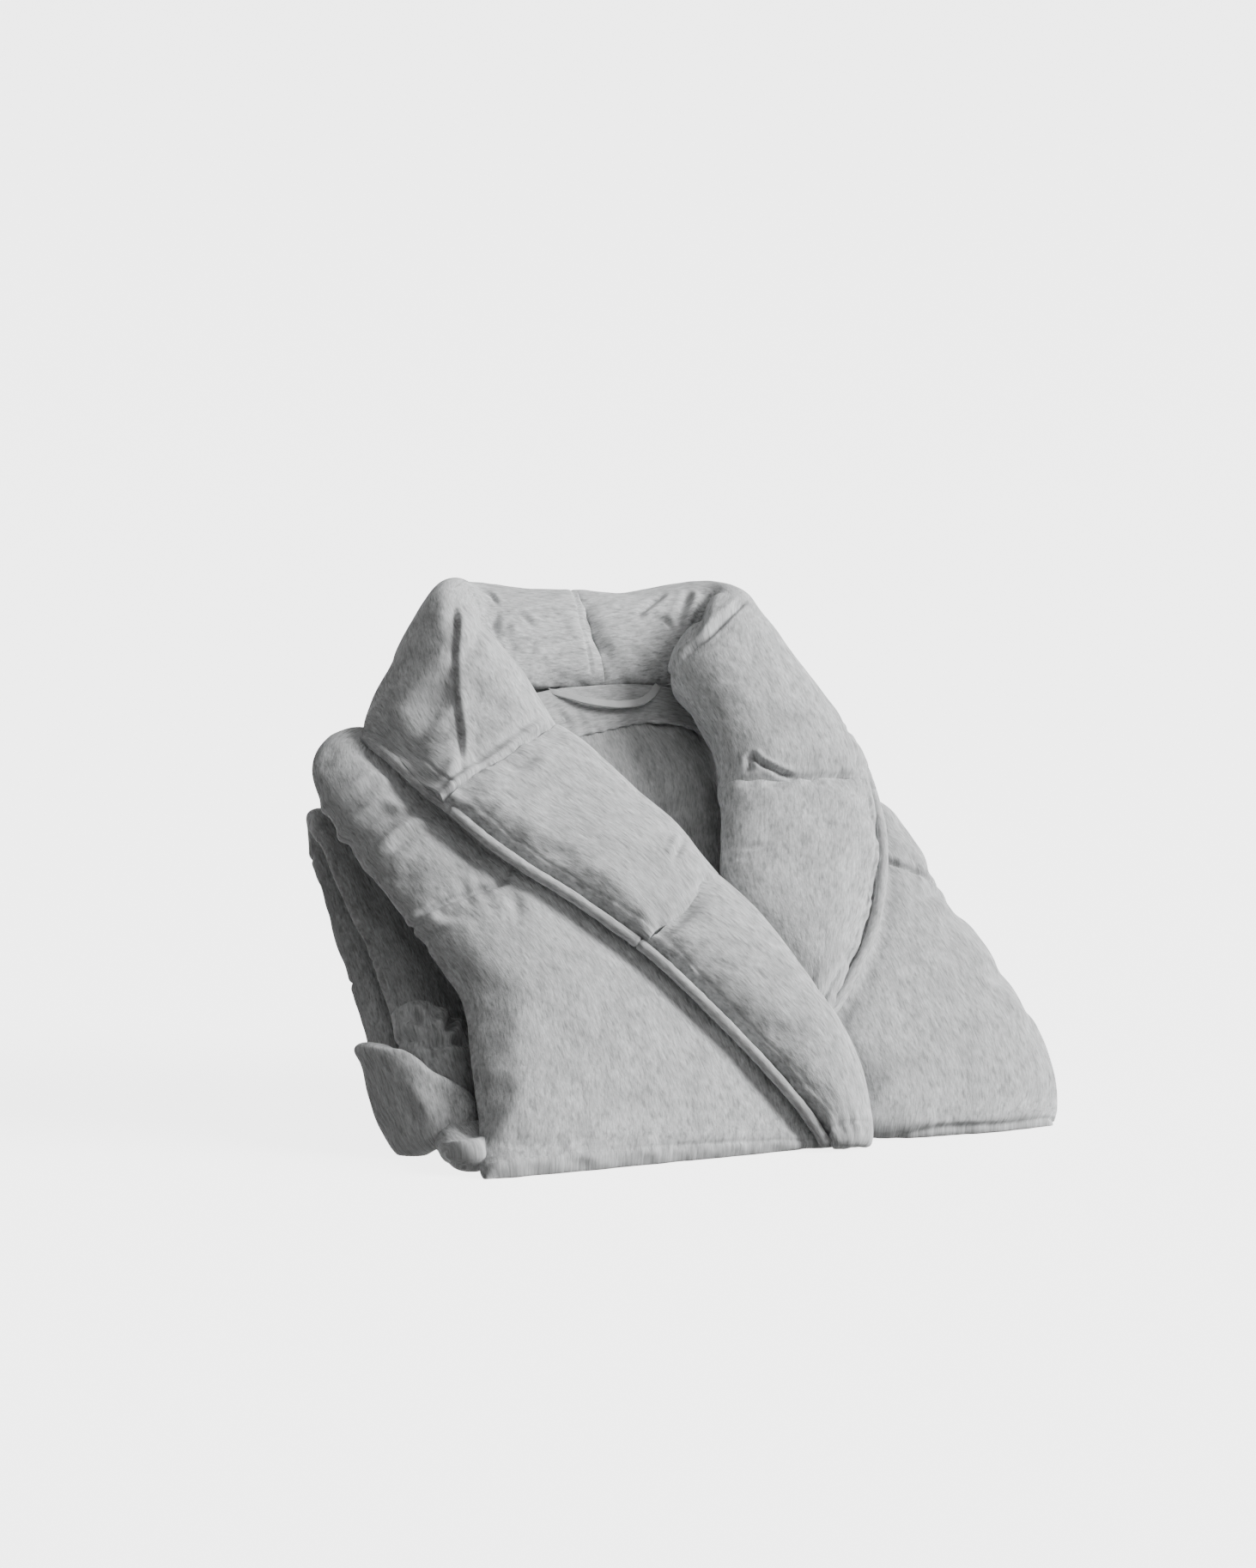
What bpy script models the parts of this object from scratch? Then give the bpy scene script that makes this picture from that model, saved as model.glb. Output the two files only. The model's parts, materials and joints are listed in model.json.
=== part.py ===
"""Padded shawl-collar bathrobe, folded into an upright bundle that leans back on its skirt.

World frame: X across the bundle (the wearer's left is +X), Y from the front to the back, Z up.
The front leaf leans back, so every pattern piece is drawn flat in a leaf frame (across, up the
slope, out of the leaf) that one empty turns and places. Right and left are the wearer's.
"""

import math

import bmesh
import bpy
from mathutils import Matrix, Vector

# Overall sizes
HALF_WIDTH = 0.2275          # half the folded width at the waist seam
BODY_LENGTH = 0.380          # waist fold to shoulder, along the leaf
LEAN_SLOPE = 52.0            # slope of the front leaf above the floor, degrees
FRONT_REACH = 0.200          # from the origin forward to the front edge of the leaf

# Cloth and padding
CLOTH = 0.0025               # one layer of jersey
BODY_PAD = 0.0225            # a whole body panel: shell, wadding and lining
SLEEVE_PAD = 0.024           # a folded sleeve
COLLAR_PAD = 0.020           # lapel flap
COLLAR_STAND = 0.032         # back collar, folded double
TRIM_PAD = 0.0055            # pocket bags and the wound belt
CROWN = 0.007                # how much a pad thins towards its rim
CUFF_BUNCH = 0.012           # how much thicker the bunched right cuff is than a folded sleeve
UNDERLAP = 0.055             # how far the left front runs under the right one
NECK_UNDERLAP = 0.010        # and under its own neck edge
RISE_WIDTH = 0.060           # across which the left front rises from under the right one
NECK_RISE = 0.024
HINGE_LEAD = 0.4             # how far a flap starts in front of its hinge, as a share of its radius
LEFT_DROP = 0.006            # how much lower the left front's side lies
RIGHT_SHOULDER_DROP = 0.004
LEFT_SHOULDER_DROP = 0.012
GAP = 0.0005                 # clearance between neighbouring layers
SEAM_GAP = 0.0012            # clearance across a seam, in the leaf

# Skirt folds
SKIRT_FOOT = 0.15            # where the upright folds start and end, as shares of the body length
SKIRT_HEAD = 0.90
TURN_FLATTEN = 0.72          # height of the top turn over its half depth
TURN_HEIGHT = 0.022          # the skirt's bottom roll under the leaf
TURN_DEPTH = 0.228
FOOT_TUCK = 0.007            # how far the roll's lower front edge is tucked back
END_TAPER = 0.4              # how fast the roll's ends sink
TAIL_RIGHT = -0.100          # sides of the last fold
TAIL_LEFT = 0.180
TAIL_REACH = 0.130           # the last fold of the skirt, lying on the floor behind
TAIL_HEIGHT = 0.036
TAIL_SOFTEN = 0.008
HEM_DEPTH = 0.014
HEM_HEIGHT = 0.020
HEM_INSET = 0.002
HEM_SOFTEN = 0.004

# Trim
PIPING_RADIUS = 0.0046
LOOP_HALF_SPAN = 0.046
LOOP_WIDTH = 0.0075
LOOP_CLOTH = 0.0022
LOOP_SAG = 0.020
LOOP_STAND_OFF = 0.0085      # how far the middle of the loop stands off the neck facing
FACING_CLOTH = 0.0020
BELT_WIDTH = 0.048
BELT_LENGTH = 0.120
BELT_FOOT = 0.46             # its lower end, as a share of the body length
BELT_NARROWING = 0.8         # how much narrower the wound belt is than the tape

# Depths of the layers, out of the leaf, from the front to the back
FRONT_TOP = -0.003
LAPEL_TOP = FRONT_TOP + GAP + COLLAR_PAD
UNDER_TOP = FRONT_TOP - BODY_PAD - GAP
BACK_TOP = UNDER_TOP - BODY_PAD - GAP
SLEEVE_TOP = BACK_TOP - BODY_PAD - GAP
MIDDLE_TOP = SLEEVE_TOP - SLEEVE_PAD - GAP
TRIM_TOP = MIDDLE_TOP - BODY_PAD - GAP
REAR_TOP = TRIM_TOP - TRIM_PAD - GAP
REAR_BACK = REAR_TOP - BODY_PAD

# Hinge lines of the pieces that move, as shares of the half width and of the body length
LAPEL_RIGHT_TOP = (-0.335, 0.925)
LAPEL_RIGHT_FOOT = (0.020, 0.600)
LAPEL_LEFT_TOP = (0.245, 0.790)
LAPEL_LEFT_FOOT = (0.245, 0.300)
LOOP_LINE = 1.128            # height of the loop's sewn ends

SLOPE = math.radians(LEAN_SLOPE)
MATERIALS = {}


def clear_scene():
    for old in list(bpy.data.objects):
        bpy.data.objects.remove(old, do_unlink=True)


def cloth_material(name, colour, roughness):
    material = bpy.data.materials.new(name)
    material.use_nodes = True
    shader = material.node_tree.nodes["Principled BSDF"]
    shader.inputs["Base Color"].default_value = (*colour, 1.0)
    shader.inputs["Roughness"].default_value = roughness
    shader.inputs["Metallic"].default_value = 0.0
    MATERIALS[name] = material


def make_materials():
    cloth_material("shell_jersey", (0.49, 0.50, 0.50), 0.95)
    cloth_material("lining_jersey", (0.43, 0.44, 0.44), 0.95)
    cloth_material("rib_binding", (0.45, 0.46, 0.46), 0.92)
    cloth_material("wadding", (0.86, 0.86, 0.84), 1.0)
    cloth_material("tape", (0.50, 0.51, 0.51), 0.85)


def leaf(x, y, depth):
    """Leaf-frame point from shares of the half width and the body length, and a real depth."""
    return Vector((x * HALF_WIDTH, y * BODY_LENGTH, depth))


def above_turn(point):
    """Keep a leaf-frame point clear of the skirt's bottom roll."""
    lowest = TURN_HEIGHT + GAP
    limit = (lowest - point.z * math.cos(SLOPE)) / math.sin(SLOPE)
    return Vector((point.x, max(point.y, limit), point.z))


def add_object(name, mesh, material, parent, origin=(0.0, 0.0, 0.0)):
    piece = bpy.data.objects.new(name, mesh)
    bpy.context.collection.objects.link(piece)
    mesh.materials.append(MATERIALS[material])
    mesh.transform(Matrix.Translation(-Vector(origin)))
    piece.location = origin
    piece.parent = parent
    return piece


def mesh_from(name, verts, faces, smooth=True):
    mesh = bpy.data.meshes.new(name)
    mesh.from_pydata(verts, [], faces)
    shape = bmesh.new()
    shape.from_mesh(mesh)
    bmesh.ops.recalc_face_normals(shape, faces=shape.faces)
    bmesh.ops.triangulate(shape, faces=shape.faces)
    shape.to_mesh(mesh)
    shape.free()
    if smooth:
        mesh.shade_smooth()
        mesh.set_sharp_from_angle(angle=math.radians(50))
    return mesh


def grid_between(rails, fill):
    """Rows of points across the rails; each rail is a list of leaf points from bottom to top."""
    rows = []
    for row in zip(*rails):
        line = [row[0]]
        for first, second in zip(row, row[1:]):
            line += [first.lerp(second, step / fill) for step in range(1, fill + 1)]
        rows.append(line)
    return rows


def rim_drop(row, rows, column, columns, crown):
    """A pad is full over its middle and thins towards its rim."""
    across = 2.0 * column / (columns - 1) - 1.0
    along = 2.0 * row / (rows - 1) - 1.0
    return crown * (1.0 - (1.0 - across ** 6) * (1.0 - along ** 6))


def closed_sheet(name, tops, lows):
    """Closed solid between an upper and a lower grid of points."""
    rows = len(tops)
    columns = len(tops[0])
    verts = [tuple(p) for line in tops for p in line] + [tuple(p) for line in lows for p in line]
    low = rows * columns
    faces = []
    for i in range(rows - 1):
        for j in range(columns - 1):
            a = i * columns + j
            b = a + columns
            faces.append((a, a + 1, b + 1, b))
            faces.append((low + a, low + b, low + b + 1, low + a + 1))
    rim = [j for j in range(columns)]
    rim += [i * columns + columns - 1 for i in range(1, rows)]
    rim += [(rows - 1) * columns + j for j in range(columns - 2, -1, -1)]
    rim += [i * columns for i in range(rows - 2, 0, -1)]
    for first, second in zip(rim, rim[1:] + rim[:1]):
        faces.append((first, low + first, low + second, second))
    return mesh_from(name, verts, faces)


def layer(name, rails, upper, lower, material, parent, fill=3, crown_low=0.0, origin=(0, 0, 0),
          crown=CROWN, floor=True):
    """One cloth or wadding layer: upper and lower are depths below the rails' surface."""
    grid = grid_between(rails, fill)
    rows = len(grid)
    columns = len(grid[0])
    tops = []
    lows = []
    for i, line in enumerate(grid):
        top_line = []
        low_line = []
        for j, point in enumerate(line):
            drop = rim_drop(i, rows, j, columns, crown)
            top = Vector((point.x, point.y, point.z - drop - upper))
            low = Vector((point.x, point.y, point.z - drop * crown_low - lower))
            top_line.append(above_turn(top) if floor else top)
            low_line.append(above_turn(low) if floor else low)
        tops.append(top_line)
        lows.append(low_line)
    return add_object(name, closed_sheet(name, tops, lows), material, parent, origin)


def pad(name, rails, thickness, parent, material="shell_jersey", **options):
    """A padded piece kept as one plain solid."""
    return layer(name, rails, 0.0, thickness, material, parent, **options)


def sandwich(name, rails, parent, face_up="shell", crown=CROWN):
    """A body panel as its three real layers: two cloths with wadding between."""
    cloths = {"shell": "shell_jersey", "lining": "lining_jersey"}
    face_down = "lining" if face_up == "shell" else "shell"
    inner = CLOTH + GAP
    layer(f"{name}_{face_up}", rails, 0.0, CLOTH, cloths[face_up], parent, crown_low=1.0,
          crown=crown)
    layer(f"{name}_wadding", rails, inner, BODY_PAD - inner, "wadding", parent, crown=crown)
    layer(f"{name}_{face_down}", rails, BODY_PAD - CLOTH, BODY_PAD, cloths[face_down], parent,
          crown=0.0)


def rail(points, depth):
    """A rail at one depth, or at each point's own depth where it has one."""
    return [leaf(p[0], p[1], p[2] if len(p) > 2 else depth) for p in points]


def moved(points, across=0.0, up=0.0):
    return [(p[0] + across / HALF_WIDTH, p[1] + up / BODY_LENGTH, *p[2:]) for p in points]


def beside(points, distance):
    """The line at a distance to the left of an upward line, in the leaf."""
    spots = [Vector((p[0] * HALF_WIDTH, p[1] * BODY_LENGTH)) for p in points]
    line = []
    for i, spot in enumerate(spots):
        before = spots[max(i - 1, 0)]
        after = spots[min(i + 1, len(spots) - 1)]
        run = (after - before).normalized()
        shifted = spot + Vector((-run.y, run.x)) * distance
        line.append((shifted.x / HALF_WIDTH, shifted.y / BODY_LENGTH, *points[i][2:]))
    return line


def tube(name, points, radius, material, parent, origin=(0.0, 0.0, 0.0)):
    """Padded binding: a round tube through leaf points."""
    curve = bpy.data.curves.new(name, "CURVE")
    curve.dimensions = "3D"
    curve.bevel_depth = radius
    curve.bevel_resolution = 1
    curve.use_fill_caps = True
    curve.resolution_u = 1
    curve.render_resolution_u = 0
    spline = curve.splines.new("POLY")
    spline.points.add(len(points) - 1)
    for spot, point in zip(spline.points, points):
        spot.co = (*(point - Vector(origin)), 1.0)
    piece = bpy.data.objects.new(name, curve)
    bpy.context.collection.objects.link(piece)
    curve.materials.append(MATERIALS[material])
    piece.location = origin
    piece.parent = parent
    return piece


def block(name, low, high, soften, material):
    """A plain soft block on the floor, in world axes."""
    shape = bmesh.new()
    bmesh.ops.create_cube(shape, size=1.0)
    size = Vector(high) - Vector(low)
    bmesh.ops.scale(shape, vec=size, verts=shape.verts)
    bmesh.ops.translate(shape, vec=(Vector(low) + Vector(high)) / 2, verts=shape.verts)
    bmesh.ops.bevel(shape, geom=shape.edges[:], offset=soften, segments=2, affect="EDGES")
    mesh = bpy.data.meshes.new(name)
    shape.to_mesh(mesh)
    shape.free()
    mesh.shade_smooth()
    return add_object(name, mesh, material, None)


# Seam and edge lines in the leaf, from the waist up

RIGHT_SIDE = [(-0.98, 0.05), (-0.915, 0.16), (-0.89, 0.29), (-0.89, 0.42), (-0.975, 0.535)]
RIGHT_ARMHOLE = [(-0.855, 0.59), (-0.70, 0.62), (-0.58, 0.72), (-0.52, 0.855), (-0.49, 0.98)]
RIGHT_ROLL = [(0.265, 0.05), (0.275, 0.13), (0.24, 0.24), (0.19, 0.345), (0.13, 0.435),
              (0.055, 0.525), (-0.02, 0.62), (-0.13, 0.725), (-0.255, 0.84), (-0.385, 0.98)]
RIGHT_SHOULDER = [(-1.02, 0.56), (-1.06, 0.62), (-1.11, 0.71), (-1.145, 0.80), (-1.14, 0.90),
                  (-1.02, 0.985)]
LEFT_SIDE = [(0.98, 0.02), (1.07, 0.08), (1.105, 0.17), (1.10, 0.27), (1.06, 0.37),
             (1.00, 0.47), (0.91, 0.56)]
LEFT_NECK = [(0.05, 0.66), (0.13, 0.71), (0.19, 0.79), (0.21, 0.93)]
LEFT_ARMHOLE = [(0.76, 0.60), (0.64, 0.67), (0.58, 0.79), (0.55, 0.93)]
COLLAR_RIGHT_EDGE = [(-0.001, 1.390, -0.050), (-0.20, 1.400, -0.048), (-0.40, 1.395, -0.040),
                     (-0.60, 1.300, -0.028), (-0.76, 1.165, -0.012), (-0.87, 1.060, 0.008),
                     (-0.90, 0.960, LAPEL_TOP), (-0.762, 0.7722, LAPEL_TOP)]
COLLAR_LEFT_EDGE = [(0.001, 1.390, -0.050), (0.22, 1.395, -0.048), (0.44, 1.390, -0.040),
                    (0.58, 1.300, -0.028), (0.65, 1.190, -0.012), (0.68, 1.080, 0.008),
                    (0.69, 0.960, LAPEL_TOP), (0.67, 0.7974, LAPEL_TOP)]
LAPEL_RIGHT_EDGE = [(-0.24, 0.465), (-0.42, 0.555), (-0.60, 0.665), (-0.76, 0.770)]
LAPEL_LEFT_EDGE = [(0.285, 0.300), (0.50, 0.435), (0.635, 0.60), (0.67, 0.795)]
BAND_EDGE = [(-0.235, 0.445), (-0.135, 0.345), (-0.06, 0.26), (0.0, 0.185), (0.055, 0.115),
             (0.10, 0.055), (0.14, 0.01)]


def front_panels(parent):
    """The right front overlaps the left one, which sinks under it."""
    side = RIGHT_SIDE + RIGHT_ARMHOLE
    sandwich("front_right", [rail(side, FRONT_TOP), rail(RIGHT_ROLL, FRONT_TOP)], parent)
    cross = RIGHT_ROLL[:7]
    under = rail(moved(cross, across=-UNDERLAP) + moved(LEFT_NECK, across=-NECK_UNDERLAP), UNDER_TOP)
    edge = rail(moved(cross, across=SEAM_GAP) + LEFT_NECK, UNDER_TOP)
    rise = rail(moved(cross, across=RISE_WIDTH) + moved(LEFT_NECK, across=NECK_RISE), FRONT_TOP)
    outer = rail(LEFT_SIDE + LEFT_ARMHOLE, FRONT_TOP - LEFT_DROP)
    sandwich("front_left", [under, edge, rise, outer], parent)


def sleeve_heads(parent):
    """The tops of the sleeves, from the armhole seam to the shoulder."""
    inner = beside([(-0.975, 0.535)] + RIGHT_ARMHOLE, SEAM_GAP / 2)
    outer = rail(RIGHT_SHOULDER, FRONT_TOP - RIGHT_SHOULDER_DROP)
    pad("sleeve_head_right", [outer, rail(inner, FRONT_TOP)], BODY_PAD, parent)
    inner = beside(LEFT_ARMHOLE, -SEAM_GAP / 2)
    outer = [(0.918, 0.566), (0.915, 0.65), (0.865, 0.76), (0.76, 0.90)]
    rails = [rail(inner, FRONT_TOP - LEFT_DROP), rail(outer, FRONT_TOP - LEFT_SHOULDER_DROP)]
    pad("sleeve_head_left", rails, BODY_PAD, parent)


def back_panel(parent):
    """The upper back, lining to the front: it shows inside the neck."""
    right = [(-0.86, 0.15), (-0.82, 0.38), (-0.82, 0.62), (-0.86, 0.84), (-0.80, 1.00),
             (-0.44, 1.135)]
    left = [(0.92, 0.15), (0.93, 0.38), (0.86, 0.62), (0.78, 0.84), (0.68, 1.00), (0.44, 1.135)]
    sandwich("back", [rail(right, BACK_TOP), rail(left, BACK_TOP)], parent, face_up="lining",
             crown=0.0)


def neck_facing(parent):
    """A narrow shaped band over the lining, just under the neck seam."""
    low = [(-0.27, 1.005), (-0.13, 1.015), (0.0, 1.03), (0.15, 1.035), (0.30, 1.02)]
    high = [(-0.27, 1.115), (-0.13, 1.125), (0.0, 1.130), (0.15, 1.125), (0.30, 1.115)]
    top = BACK_TOP + GAP + FACING_CLOTH
    layer("neck_facing", [rail(low, top), rail(high, top)], 0.0, FACING_CLOTH, "lining_jersey",
          parent, fill=1, crown=0.0)
    return top


def hanging_loop(parent, facing_top):
    """A flat tape sewn at its two ends; it hangs in a shallow bow that stands off the facing."""
    axis_depth = facing_top + GAP + LOOP_CLOTH / 2
    origin = leaf(0.0, LOOP_LINE, axis_depth)
    tops = []
    lows = []
    steps = 12
    for i in range(steps + 1):
        share = 2.0 * i / steps - 1.0
        bow = 1.0 - share * share
        lift = LOOP_STAND_OFF * min(1.0, 1.35 * bow)
        top_line = []
        low_line = []
        for edge in (-1.0, 1.0):
            across = share * LOOP_HALF_SPAN
            up = origin.y - LOOP_WIDTH / 2 - LOOP_SAG * bow + edge * LOOP_WIDTH / 2
            top_line.append(Vector((across, up, axis_depth + LOOP_CLOTH / 2 + lift)))
            low_line.append(Vector((across, up, axis_depth - LOOP_CLOTH / 2 + lift)))
        tops.append(top_line)
        lows.append(low_line)
    mesh = closed_sheet("hanging_loop", tops, lows)
    add_object("hanging_loop", mesh, "tape", parent, origin)


def collar(parent):
    """Each half of the shawl collar runs from the centre-back seam over the shoulder."""
    inner = [(-0.001, 1.152, -0.044), (-0.18, 1.152, -0.042), (-0.36, 1.150, -0.034),
             (-0.43, 1.148, -0.020), (-0.44, 1.085, 0.004), (-0.42, 1.030, LAPEL_TOP),
             (-0.385, 0.985, LAPEL_TOP), (-0.337, 0.9272, LAPEL_TOP)]
    collar_half("collar_right", inner, COLLAR_RIGHT_EDGE, parent)
    inner = [(0.001, 1.152, -0.044), (0.18, 1.152, -0.042), (0.30, 1.150, -0.034),
             (0.32, 1.148, -0.018), (0.27, 1.085, 0.004), (0.215, 1.030, LAPEL_TOP),
             (0.22, 0.935, LAPEL_TOP), (0.245, 0.7924, LAPEL_TOP)]
    collar_half("collar_left", inner, COLLAR_LEFT_EDGE, parent)


def collar_half(name, inner, outer, parent):
    """Thick where the stand is folded double, thinner where it lies over the shoulder."""
    shares = [1.0, 1.0, 0.9, 0.45, 0.0, 0.0, 0.0, 0.0]
    grid = grid_between([rail(inner, 0.0), rail(outer, 0.0)], 4)
    rows = len(grid)
    columns = len(grid[0])
    tops = []
    lows = []
    for i, line in enumerate(grid):
        depth = COLLAR_PAD + (COLLAR_STAND - COLLAR_PAD) * shares[i]
        drops = [rim_drop(i, rows, j, columns, CROWN) for j in range(columns)]
        tops.append([p - Vector((0.0, 0.0, drop)) for p, drop in zip(line, drops)])
        lows.append([p - Vector((0.0, 0.0, depth)) for p in line])
    add_object(name, closed_sheet(name, tops, lows), "shell_jersey", parent)


def flap_rails(hinge, free, top):
    """Rails of a flap: one just in front of its hinge line, then its free edge."""
    radius = COLLAR_PAD / 2
    first = rail(hinge, top)
    second = rail(free, top)
    toward = [(b - a).normalized() for a, b in zip(first, second)]
    near = [a + step * radius * HINGE_LEAD for a, step in zip(first, toward)]
    return [near, second]


def lapels(parent):
    """The flaps that lie over the fronts. Each one's origin is on its roll line."""
    depth = LAPEL_TOP - COLLAR_PAD / 2
    top = LAPEL_RIGHT_TOP
    foot = LAPEL_RIGHT_FOOT
    steps = [0.0, 0.33, 0.67, 1.0]
    hinge = [(foot[0] + (top[0] - foot[0]) * s, foot[1] + (top[1] - foot[1]) * s) for s in steps]
    origin = leaf(*foot, depth)
    rails = flap_rails(hinge, LAPEL_RIGHT_EDGE, LAPEL_TOP)
    pad("lapel_right", rails, COLLAR_PAD, parent, origin=origin)
    top = LAPEL_LEFT_TOP
    foot = LAPEL_LEFT_FOOT
    hinge = [(foot[0] + (top[0] - foot[0]) * s, foot[1] + (top[1] - foot[1]) * s) for s in steps]
    origin = leaf(*foot, depth)
    rails = flap_rails(hinge, LAPEL_LEFT_EDGE, LAPEL_TOP)
    pad("lapel_left", rails, COLLAR_PAD, parent, origin=origin)


def lapel_right_band(parent):
    """Below its own seam the right lapel narrows to a band that ends at the waist fold."""
    inner = [(0.030, 0.580), (0.11, 0.50), (0.18, 0.40), (0.235, 0.30), (0.275, 0.20),
             (0.285, 0.10), (0.265, 0.02)]
    rails = [rail(inner, LAPEL_TOP), rail(BAND_EDGE, LAPEL_TOP)]
    pad("lapel_right_band", rails, COLLAR_PAD, parent, floor=False)


def piping(parent):
    """Padded binding along the collar's outer edge, cut where the collar's seams are."""
    step = PIPING_RADIUS + GAP
    under = COLLAR_PAD - (COLLAR_PAD - CROWN) / 2
    fixed = {
        "piping_collar_right": (COLLAR_RIGHT_EDGE[3:], -1.0),
        "piping_band_right": (BAND_EDGE[::-1], 1.0),
        "piping_collar_left": (COLLAR_LEFT_EDGE[3:], 1.0),
    }
    for name, (edge, side) in fixed.items():
        bound_edge(name, edge, step * side, under, parent)
    right = leaf(*LAPEL_RIGHT_FOOT, LAPEL_TOP - COLLAR_PAD / 2)
    bound_edge("piping_lapel_right", LAPEL_RIGHT_EDGE, step, under, parent, right)
    left = leaf(*LAPEL_LEFT_FOOT, LAPEL_TOP - COLLAR_PAD / 2)
    bound_edge("piping_lapel_left", LAPEL_LEFT_EDGE, -step, under, parent, left)


def bound_edge(name, edge, distance, under, parent, origin=(0.0, 0.0, 0.0)):
    """The binding lies against the middle of a flap's rim."""
    line = rail(beside(edge, distance), LAPEL_TOP)
    points = [Vector((p.x, p.y, p.z - under)) for p in line]
    tube(name, points, PIPING_RADIUS, "rib_binding", parent, origin)


def sleeves(parent):
    """The sleeves are folded in behind the upper back; the right cuff shows at the side."""
    upper = [(-0.72, 0.40), (-0.74, 0.60), (-0.72, 0.80), (-0.60, 0.92)]
    inner = [(-0.10, 0.40), (-0.08, 0.60), (-0.08, 0.80), (-0.10, 0.92)]
    pad("sleeve_right_upper", [rail(upper, SLEEVE_TOP), rail(inner, SLEEVE_TOP)], SLEEVE_PAD,
        parent)
    outer = [(-0.86, 0.20), (-0.88, 0.30), (-0.86, 0.39)]
    inner = [(-0.05, 0.20), (-0.05, 0.30), (-0.05, 0.39)]
    pad("sleeve_right_forearm", [rail(outer, SLEEVE_TOP), rail(inner, SLEEVE_TOP)], SLEEVE_PAD,
        parent)
    outer = [(-1.14, 0.16, -0.052), (-1.18, 0.27, -0.046), (-1.15, 0.37, -0.052)]
    inner = [(-0.90, 0.19, -0.052), (-0.915, 0.30, -0.052), (-0.90, 0.39, -0.056)]
    pad("cuff_right", [rail(outer, 0.0), rail(inner, 0.0)], SLEEVE_PAD + CUFF_BUNCH, parent)
    inner = [(0.0, 0.40), (0.0, 0.60), (0.0, 0.80), (0.02, 0.92)]
    outer = [(0.72, 0.40), (0.74, 0.60), (0.66, 0.80), (0.52, 0.92)]
    pad("sleeve_left_upper", [rail(inner, SLEEVE_TOP), rail(outer, SLEEVE_TOP)], SLEEVE_PAD,
        parent)
    inner = [(0.0, 0.20), (0.0, 0.30), (0.0, 0.39)]
    outer = [(0.70, 0.20), (0.71, 0.30), (0.70, 0.39)]
    pad("sleeve_left_forearm", [rail(inner, SLEEVE_TOP), rail(outer, SLEEVE_TOP)], SLEEVE_PAD,
        parent)
    inner = [(0.715, 0.20), (0.725, 0.30), (0.715, 0.39)]
    outer = [(0.90, 0.21), (0.91, 0.30), (0.90, 0.38)]
    pad("cuff_left", [rail(inner, SLEEVE_TOP), rail(outer, SLEEVE_TOP)], SLEEVE_PAD, parent)


def skirt_folds(parent):
    """The skirt goes up behind the sleeves, over the top turn and down again."""
    low = SKIRT_FOOT
    high = SKIRT_HEAD
    middle = [[(-1.00, low), (-1.02, 0.45), (-1.06, 0.72), (-1.07, high)],
              [(0.92, low), (0.90, 0.45), (0.86, 0.72), (0.84, high)]]
    sandwich("skirt_middle", [rail(side, MIDDLE_TOP) for side in middle], parent,
             face_up="lining")
    rear = [[(-1.00, low), (-1.02, 0.45), (-1.04, 0.72), (-1.04, high)],
            [(0.90, low), (0.88, 0.45), (0.84, 0.72), (0.82, high)]]
    sandwich("skirt_rear", [rail(side, REAR_TOP) for side in rear], parent)
    front = MIDDLE_TOP
    back = REAR_BACK
    reach = (front - back) / 2
    steps = 8
    left = []
    right = []
    for i in range(steps + 1):
        angle = math.pi * i / steps
        out = reach * math.cos(angle) + (front + back) / 2
        up = high + (SEAM_GAP + reach * TURN_FLATTEN * math.sin(angle)) / BODY_LENGTH
        left.append((-1.06, up, out))
        right.append((0.83, up, out))
    verts = [tuple(leaf(*p)) for p in left] + [tuple(leaf(*p)) for p in right]
    count = len(left)
    faces = [tuple(range(count)), tuple(range(2 * count - 1, count - 1, -1))]
    faces += [(i, (i + 1) % count, count + (i + 1) % count, count + i) for i in range(count)]
    mesh = mesh_from("skirt_top_turn", verts, faces)
    add_object("skirt_top_turn", mesh, "shell_jersey", parent)


def pockets_and_belt(parent):
    """Two pocket bags and the wound belt lie flat between the skirt's folds."""
    for name, near, far in (("pocket_right", -0.88, -0.20), ("pocket_left", 0.20, 0.76)):
        sides = [[(near, 0.42), (near, 0.80)], [(far, 0.42), (far, 0.80)]]
        rails = [rail(side, TRIM_TOP) for side in sides]
        pad(name, rails, TRIM_PAD, parent, material="lining_jersey", fill=2, crown=0.0)
    half = BELT_WIDTH / 2 / HALF_WIDTH
    half *= BELT_NARROWING
    top = BELT_FOOT + BELT_LENGTH / BODY_LENGTH
    sides = [[(-half, BELT_FOOT), (-half, top)], [(half, BELT_FOOT), (half, top)]]
    rails = [rail(side, TRIM_TOP) for side in sides]
    pad("waist_belt", rails, TRIM_PAD, parent, fill=2, crown=0.0)


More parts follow.
